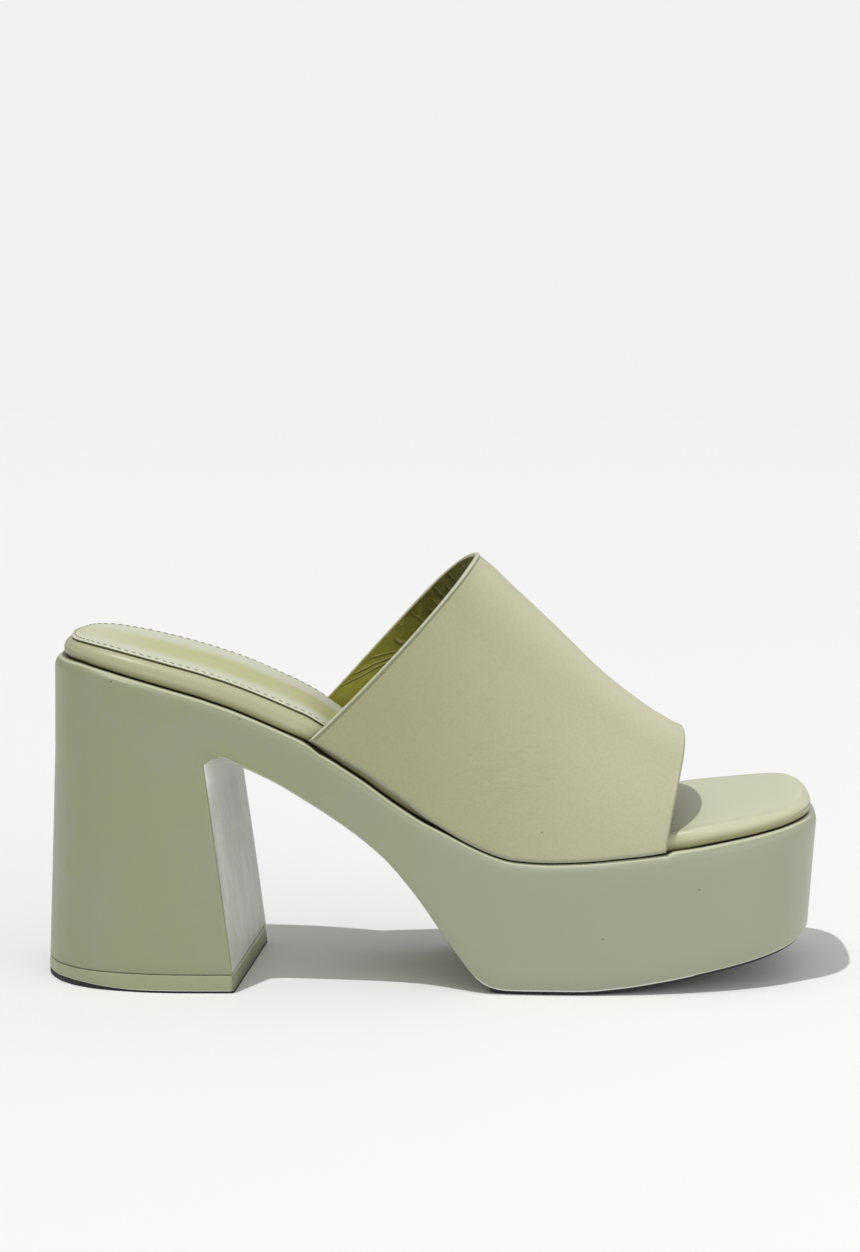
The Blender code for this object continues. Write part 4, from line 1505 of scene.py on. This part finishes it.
@dataclass
class Sock:
    """Padded sock on the footbed, with its stitched edge.

    Levels of its edge are inset, drop from its upper face, and share of the stitches' dent.
    """

    inset: float = 5.0
    edge_gap: float = 2.0
    thick: float = 0.9
    dome: float = 0.5
    front_x: float = 42.0
    stitch_inset: float = 1.1
    stitch_pitch: float = 2.4
    stitch_length: float = 1.65
    stitch_width: float = 0.42
    stitch_height: float = 0.34
    stitch_up: float = 0.14
    dent: float = 0.22
    points_per_stitch: int = 6
    across: int = 12
    cut_levels: int = 4
    levels: tuple[tuple[float, float, float], ...] = (
        (0.8, 0.9, 0.0), (0.12, 0.88, 0.0), (0.04, 0.72, 0.0), (0.0, 0.5, 0.0), (0.03, 0.28, 0.3),
        (0.18, 0.10, 0.4), (0.42, 0.0, 0.5), (0.75, 0.0, 0.8), (1.1, 0.0, 1.0), (1.5, 0.0, 0.75),
        (2.1, 0.0, 0.25), (3.2, 0.0, 0.0),
    )

    def edge(self, inset: float) -> np.ndarray:
        """Line of the sock's edge moved inwards, from its outer front round the heel to its inner front."""
        x = OUTLINE.around()[:, 0]
        place = np.maximum(self.inset, FOOTBED_INSET(x) + self.edge_gap) + inset
        near, far = OUTLINE.halves(OUTLINE.around(place))
        near = near[near[:, 0] < self.front_x][::-1]
        far = far[far[:, 0] < self.front_x]
        return np.vstack([near, far[1:]])

    def columns(self) -> int:
        """Number of points along the edge, an odd one so that a point lies at the heel's back."""
        run = lengths_along(self.edge(0.0))[-1]
        return 2 * int(run / self.stitch_pitch * self.points_per_stitch / 2) + 1

    def rise(self, x: Numbers, share: Numbers) -> Numbers:
        """Height of the sock's underside, domed over its width."""
        return footbed_top(x, share) + TOUCH_GAP + self.dome * (1 - (2 * share - 1) ** 2)

    def ring(self, inset: float, drop: float, dented: float) -> np.ndarray:
        """Line at this inset from the edge, this far below the sock's upper face."""
        moved = self.edge(inset)
        run = lengths_along(self.edge(0.0))
        at = np.linspace(0.0, run[-1], self.columns())
        flat = np.stack([np.interp(at, run, moved[:, k]) for k in (0, 1)], axis=1)
        width = np.abs(flat[::-1][:, 1] - flat[:, 1]) + 2 * inset + 0.5
        top = self.rise(flat[:, 0], np.clip(inset / width, 0.0, 0.5)) + self.thick
        pull = 0.5 + 0.5 * np.cos(at / self.stitch_pitch * 2 * math.pi)
        return np.column_stack([flat, top - drop - dented * self.dent * (0.55 + 0.45 * pull)])

    def build(self, leather: bpy.types.Material, cut: bpy.types.Material,
              thread: bpy.types.Material) -> None:
        """Builds the sock and its stitches.

        Args:
            leather: The sock's leather.
            cut: Its dark cut edge.
            thread: The stitches' thread.
        """
        rings = np.array([self.ring(*level) for level in self.levels])
        widths = np.abs(rings[0][::-1][:, 1] - rings[0][:, 1]) + 0.5
        across = np.array([np.clip(level[0] / widths, 0.0, 0.5) for level in self.levels])
        bm = bmesh.new()
        lay_grid(bm, rings[:self.cut_levels], {"across": across[:self.cut_levels]}, material=1)
        lay_grid(bm, rings[self.cut_levels - 1:], {"across": across[self.cut_levels - 1:]})
        middle = rings.shape[1] // 2 + 1
        shares = np.linspace(0.0, 1.0, self.across + 1)[None, :]
        for ring, first, under in ((rings[-1], across[-1], False), (rings[0], across[0], True)):
            cap = bridge(ring[:middle], ring[::-1][:middle], self.across)
            t = first[:middle, None] + (1 - 2 * first[:middle, None]) * shares
            cap[:, :, 2] = self.rise(cap[:, :, 0], t) + (0.0 if under else self.thick)
            lay_grid(bm, cap, {"across": t}, material=int(under))
        close_up(bm)
        finish_piece("sock_pad", bm, [leather, cut], ["sock"], sharp=60.0)
        self.build_stitches(thread)

    def build_stitches(self, thread: bpy.types.Material) -> None:
        """Short stitches along the sock's edge, each sunk a little in its dent."""
        line = self.ring(self.stitch_inset, 0.0, 1.0)
        run = lengths_along(line)
        size = (self.stitch_length, self.stitch_width, self.stitch_height)
        bm = bmesh.new()
        for k in range(int(run[-1] / self.stitch_pitch)):
            at = (k + 0.5) * self.stitch_pitch
            back, fore = [
                np.array([np.interp(at + side * self.stitch_length / 2, run, line[:, c]) for c in range(3)])
                for side in (-1, 1)
            ]
            middle = Vector(to_frame((back + fore) / 2 + np.array([0.0, 0.0, self.stitch_up])))
            turn = Vector(fore - back).to_track_quat("X", "Z").to_matrix().to_4x4()
            made = bmesh.ops.create_uvsphere(bm, u_segments=6, v_segments=4, radius=0.5 * MM)["verts"]
            bmesh.ops.scale(bm, verts=made, vec=size)
            bmesh.ops.transform(bm, verts=made, matrix=turn)
            bmesh.ops.translate(bm, verts=made, vec=middle)
        finish_piece("sock_stitches", bm, [thread])


@dataclass(frozen=True)
class Fold:
    """A soft trough or ridge on the band.

    Start and end are (share over the band from its outer edge, millimetres from the collar).
    """

    start: tuple[float, float]
    end: tuple[float, float]
    width: float
    height: float


@dataclass
class Band:
    """The upper: one wide hollow wall over the instep with folded edges and a lining."""

    thick: float = 1.8
    inset: float = 1.0
    bead: float = 0.28
    bead_width: float = 0.8
    groove: float = 0.16
    front_bead: float = 0.16
    front_groove: float = 0.08
    edge_radius: float = 0.5
    tuck: float = 0.8
    tuck_height: float = 1.6
    collar_reach: Span = (-36.4, 20.0)
    collar_medial_rise: float = 3.4
    collar_rise_skew: float = 1.3
    front_low: float = 69.0
    front_rise: float = 8.0
    front_power: float = 1.25
    girth: float = 125.0
    rows: int = 150
    columns: int = 110
    fine_end: float = 4.0
    fine: tuple[float, ...] = (0.0, 0.08, 0.22, 0.42, 0.65, 0.9, 1.15, 1.4, 1.6, 1.8, 2.05, 2.4, 2.9)
    close: tuple[float, ...] = (0.0, 0.0005, 0.0014, 0.0028, 0.0046, 0.007, 0.010, 0.014)
    ridge: Curve = field(default_factory=lambda: Curve(INSTEP, "ridge"))
    gap: Curve = field(default_factory=lambda: Curve(INSTEP, "edge_gap"))
    shift: Curve = field(default_factory=lambda: Curve(INSTEP, "ridge_shift"))
    up: Curve = field(default_factory=lambda: Curve(INSTEP, "up"))
    across: Curve = field(default_factory=lambda: Curve(INSTEP, "across"))
    collar: Curve = field(default_factory=lambda: Curve(COLLAR, "height"))
    outer_folds: tuple[Fold, ...] = (
        Fold((0.10, 16.0), (0.17, 44.0), 9.0, -0.30),
        Fold((0.22, 20.0), (0.30, 52.0), 11.0, 0.28),
        Fold((0.36, 14.0), (0.40, 40.0), 12.0, -0.22),
    )
    lining_folds: tuple[Fold, ...] = (
        Fold((0.700, 0.5), (0.694, 9.0), 1.3, 0.40),
        Fold((0.757, 0.5), (0.750, 11.0), 1.4, 0.45),
        Fold((0.820, 1.0), (0.810, 11.0), 1.4, 0.40),
        Fold((0.925, 0.5), (0.870, 9.0), 1.3, 0.25),
        Fold((0.962, 0.5), (0.890, 9.0), 1.2, 0.25),
    )
    lining_share: float = 0.8

    def point(self, x: Numbers, v: Numbers) -> np.ndarray:
        """Place on the band's outer face at x; v runs from 0 at the outer edge over the ridge to 1."""
        near = OUTLINE.y_at(x, Side.LATERAL, self.inset)
        far = OUTLINE.y_at(x, Side.MEDIAL, self.inset)
        low = TOP(x) + self.gap(x)
        cosine = np.cos(math.pi * v)
        across = np.sign(cosine) * np.abs(cosine) ** self.across(x)
        up = np.maximum(np.sin(math.pi * v), 0.0) ** self.up(x)
        y = (near + far) / 2 - across * (far - near) / 2 + self.shift(x) * up
        return np.stack([x + 0 * v, y, low + (self.ridge(x) - low) * up], axis=-1)

    def collar_x(self, v: np.ndarray) -> np.ndarray:
        """Where the folded edge crosses each line v."""
        medial = np.maximum(2 * v - 1, 0.0)
        rise = self.collar_medial_rise * np.sin(math.pi * medial**self.collar_rise_skew)
        low, high = np.full_like(v, self.collar_reach[0]), np.full_like(v, self.collar_reach[1])
        for _ in range(40):
            x = (low + high) / 2
            above = self.point(x, v)[:, 2] > self.collar(x) + rise
            low, high = np.where(above, x, low), np.where(above, high, x)
        return (low + high) / 2

    def front_x(self, v: np.ndarray) -> np.ndarray:
        """Where the front edge crosses each line v."""
        return self.front_low + self.front_rise * np.maximum(np.sin(math.pi * v), 0.0) ** self.front_power

    def lines(self) -> np.ndarray:
        """Values of v for the rows, close together at the two lower edges."""
        close_by = np.array(self.close)
        return np.concatenate([close_by, np.linspace(0.02, 0.98, self.rows), 1 - close_by[::-1]])

    def outer(self) -> tuple[np.ndarray, np.ndarray, np.ndarray, np.ndarray]:
        """Outer face as a grid, with each point's distances from the collar, the front and the foot."""
        v = self.lines()
        start, end = self.collar_x(v), self.front_x(v)
        fine = np.array(self.fine)
        grid, from_collar, from_front = [], [], []
        for row, first, last in zip(v, start, end):
            x = first + (last - first) * np.linspace(0.0, 1.0, 260)
            line = self.point(x, np.full_like(x, row))
            run = lengths_along(line)
            inner = np.linspace(self.fine_end, run[-1] - self.fine_end, self.columns)
            at = np.concatenate([fine, inner, run[-1] - fine[::-1]])
            grid.append(np.stack([np.interp(at, run, line[:, k]) for k in range(3)], axis=1))
            from_collar.append(at)
            from_front.append(run[-1] - at)
        points = np.array(grid)
        up = lengths_along(points)
        return points, np.array(from_collar), np.array(from_front), np.minimum(up, up[-1] - up)

    @staticmethod
    def normals(points: np.ndarray) -> np.ndarray:
        """Outward directions of a grid."""
        found = np.cross(np.gradient(points, axis=0), np.gradient(points, axis=1))
        found /= np.linalg.norm(found, axis=2)[:, :, None]
        middle = points.mean(axis=(0, 1)) - np.array([0.0, 0.0, 30.0])
        return found if (found * (points - middle)).sum() > 0 else -found

    def folds(self, chosen: Sequence[Fold], v: np.ndarray, run: np.ndarray) -> np.ndarray:
        """Height of the given folds over the grid.

        Args:
            chosen: The folds.
            v: Share over the band of each row.
            run: Distance of each point from the collar.

        Returns:
            Height in millimetres for each point.
        """
        height = np.zeros_like(run)
        across = (v * self.girth)[:, None] + 0 * run
        for fold in chosen:
            a = np.array([fold.start[0] * self.girth, fold.start[1]])
            along = np.array([fold.end[0] * self.girth, fold.end[1]]) - a
            t = ((across - a[0]) * along[0] + (run - a[1]) * along[1]) / (along @ along)
            t = np.clip(t, 0.0, 1.0)
            away = np.hypot(across - a[0] - t * along[0], run - a[1] - t * along[1])
            height += fold.height * np.exp(-((away / fold.width) ** 2))
        return height

    def build(self, leather: bpy.types.Material, lining: bpy.types.Material) -> None:
        """Builds the band.

        Args:
            leather: Leather of the outer face.
            lining: Leather of the inner face.
        """
        points, collar, front, low = self.outer()
        normal = self.normals(points)
        normal[:2], normal[-2:] = normal[2], normal[-3]
        v = self.lines()
        edge = np.minimum(np.minimum(collar, front), low)
        half = self.thick / 2
        turn = self.edge_radius - np.minimum(edge, self.edge_radius)
        swell = half - self.edge_radius + np.sqrt(self.edge_radius**2 - turn**2)
        swell = np.where(edge < 1e-6, 0.0, swell)
        inward = self.tuck * np.clip(1 - low / self.tuck_height, 0.0, 1.0) ** 2
        middle = points - normal * (half + inward)[:, :, None]
        bead = self.bead * (1 - ease(collar, self.bead_width - 0.3, self.bead_width + 0.25))
        groove = self.groove * bump(collar, self.bead_width + 0.45, 0.35)
        front_bead = self.front_bead * (1 - ease(front, 0.9, 1.4))
        front_bead = front_bead - self.front_groove * bump(front, 1.6, 0.3)
        soft = self.folds(self.outer_folds, v, collar) * ease(edge, 3.0, 12.0)
        shape = swell + (bead + front_bead) * ease(edge, 0.0, 0.6) - groove + soft
        shape = np.where(edge < 1e-6, 0.0, shape)
        outer = middle + normal * shape[:, :, None]
        creases = self.folds(self.lining_folds, v, collar) * ease(edge, 0.3, 2.0)
        inner = middle - normal * (swell - creases * self.lining_share)[:, :, None]
        layers = {"collar": collar, "front": front, "low": low, "over": v[:, None] + 0 * low}
        bm = bmesh.new()
        lay_grid(bm, outer, layers)
        lay_grid(bm, inner, layers, material=1)
        weld(bm, 0.004)
        if bm.calc_volume(signed=True) < 0:
            bmesh.ops.reverse_faces(bm, faces=bm.faces)
        finish_piece("band_wall", bm, [leather, lining], ["band"], sharp=80.0)


# Studio


@dataclass
class Studio:
    """Plain pale floor, plain studio light and the camera at the photograph's angle."""

    floor_radius: float = 4.0
    floor_white: float = 0.92
    fade: Span = (1.6, 3.2)
    background: Colour = (241, 241, 241)
    sky: float = 0.46
    key_strength: float = 1.70
    key_angle: float = 1.2
    key_from: tuple[float, float, float] = (-0.27, -0.26, 1.0)
    sky_lean: float = 0.5
    fill_place: tuple[float, float, float] = (900.0, -1100.0, 450.0)
    fill_aim: tuple[float, float, float] = (30.0, 0.0, 50.0)
    fill_size: float = 0.9
    fill_power: float = 4.0
    camera_place: tuple[float, float, float] = (-0.91, -883.55, 222.48)
    camera_pitch: float = 7.63
    lens: float = 85.0
    sensor: float = 36.0

    def build_floor(self) -> None:
        """Wide floor that fades into the background far from the shoe."""
        bm = bmesh.new()
        bmesh.ops.create_circle(bm, cap_ends=True, cap_tris=False, segments=96, radius=self.floor_radius)
        mesh = bpy.data.meshes.new("floor")
        bm.to_mesh(mesh)
        bm.free()
        floor = bpy.data.objects.new("floor", mesh)
        bpy.context.scene.collection.objects.link(floor)
        material = bpy.data.materials.new("pale_floor")
        material.use_nodes = True
        graph = Graph(material.node_tree)
        place = graph.node("ShaderNodeTexCoord").outputs["Object"]
        away = graph.value("ShaderNodeVectorMath", {"operation": "LENGTH"}, output="Value", s0=place)
        white = (self.floor_white, self.floor_white, self.floor_white, 1.0)
        paper = graph.node("ShaderNodeBsdfDiffuse", None, Color=white, Roughness=0.0)
        clear = graph.node("ShaderNodeBsdfTransparent")
        mixed = graph.node("ShaderNodeMixShader", None, s0=away.rise(*self.fade), s1=paper.outputs[0],
                           s2=clear.outputs[0])
        graph.node("ShaderNodeOutputMaterial", None, Surface=mixed.outputs[0])
        mesh.materials.append(material)

    def build_light(self) -> None:
        """Key light high on the left in front, and an even dome; the backdrop is plain."""
        world = bpy.data.worlds.new("studio")
        world.use_nodes = True
        graph = Graph(world.node_tree)
        seen = graph.node("ShaderNodeLightPath").outputs["Is Camera Ray"]
        seen_way = graph.node("ShaderNodeTexCoord").outputs["Generated"]
        right = graph.value("ShaderNodeSeparateXYZ", output="X", Vector=seen_way)
        dome = graph.node("ShaderNodeBackground", None, Color=(1.0, 1.0, 1.0, 1.0),
                          Strength=(right * self.sky_lean + 1.0) * self.sky)
        back = graph.node("ShaderNodeBackground", None, Color=linear(self.background), Strength=1.0)
        mixed = graph.node("ShaderNodeMixShader", None, s0=seen, s1=dome.outputs[0], s2=back.outputs[0])
        graph.node("ShaderNodeOutputWorld", None, Surface=mixed.outputs[0])
        bpy.context.scene.world = world
        lamp = bpy.data.lights.new("key", "SUN")
        lamp.energy = self.key_strength
        lamp.angle = math.radians(self.key_angle)
        key = bpy.data.objects.new("key", lamp)
        key.rotation_euler = (-Vector(self.key_from)).to_track_quat("-Z", "Y").to_euler()
        bpy.context.scene.collection.objects.link(key)
        panel = bpy.data.lights.new("fill", "AREA")
        panel.shape = "SQUARE"
        panel.size = self.fill_size
        panel.energy = self.fill_power
        fill = bpy.data.objects.new("fill", panel)
        fill.location = Vector(self.fill_place) * MM
        way = Vector(self.fill_aim) - Vector(self.fill_place)
        fill.rotation_euler = way.to_track_quat("-Z", "Y").to_euler()
        bpy.context.scene.collection.objects.link(fill)

    def build_camera(self) -> None:
        """Camera fitted to the photograph."""
        data = bpy.data.cameras.new("camera")
        data.lens = self.lens
        data.sensor_fit = "VERTICAL"
        data.sensor_height = self.sensor
        data.sensor_width = self.sensor
        camera = bpy.data.objects.new("camera", data)
        camera.location = Vector(self.camera_place) * MM
        camera.rotation_euler = (math.radians(90.0 - self.camera_pitch), 0.0, 0.0)
        bpy.context.scene.collection.objects.link(camera)
        bpy.context.scene.camera = camera

    def build(self) -> None:
        """Builds floor, light and camera."""
        self.build_floor()
        self.build_light()
        self.build_camera()
        bpy.context.scene.view_settings.view_transform = "Standard"


def main() -> None:
    """Builds the shoe's pieces and the studio."""
    logging.basicConfig(level=logging.INFO, format="%(name)s %(message)s")
    pores = ((49.6, 17.2), (77.8, 31.6), (-93.8, 92.1), (-56.4, 81.7))
    # The sage's tint is the painted light towards the toe.
    sage = SoleLeather("sage_wrap", (147, 153, 117), 0.46, coat=0.20, cloud=0.025, grain=0.008,
                       pores=pores, tint=(157, 161, 137)).build()
    lift = LiftLeather("lift_wrap_leather", (155, 160, 126), 0.45, coat=0.10, cloud=0.03,
                       grain=0.008).build()
    # The cover's silvery colours are partly painted reflection.
    cover = CoverLeather("silvery_cover", (182, 184, 172), 0.40, coat=0.15, cloud=0.03, grain=0.008,
                         tint=(206, 207, 200)).build()
    # The rand's tint is the painted light on the footbed's top and toe roll.
    rand = FootbedLeather("rand_leather", (180, 180, 142), 0.42, coat=0.15, cloud=0.03, grain=0.012,
                          tint=(213, 214, 185)).build()
    sock = SockLeather("sock_leather", (216, 217, 195), 0.50, cloud=0.03, grain=0.012,
                       tint=(195, 196, 136)).build()
    # The band's tint is the painted light towards its front and top; its own colour is the shaded rear.
    band = BandLeather("band_outer", (161, 162, 121), 0.52, cloud=0.05, grain=0.020, pores=((31.6, 48.8),),
                       tint=(205, 205, 173)).build()
    # The lining's saturated olive colour is partly painted: it stands in for the shade and yellow-green
    # bounce light inside the band.
    lining = LiningLeather("band_lining", (164, 161, 56), 0.5, cloud=0.08, grain=0.012,
                           tint=(178, 175, 79)).build()
    rubber = Rubber("black_rubber", (20, 20, 19), 0.6).build()
    cut = Plain("cut_edge", (128, 124, 82), 0.8).build()
    thread = Plain("thread", (168, 168, 134), 0.7).build()
    sole = SoleUnit()
    heel = sole.build(sage)
    HeelCover().build(heel, cover)
    HeelFoot(sole).build(lift, rubber)
    Outsole().build(rubber)
    Footbed().build(rand)
    Sock().build(sock, cut, thread)
    Band().build(band, lining)
    Studio().build()


if __name__ == "__main__":
    main()
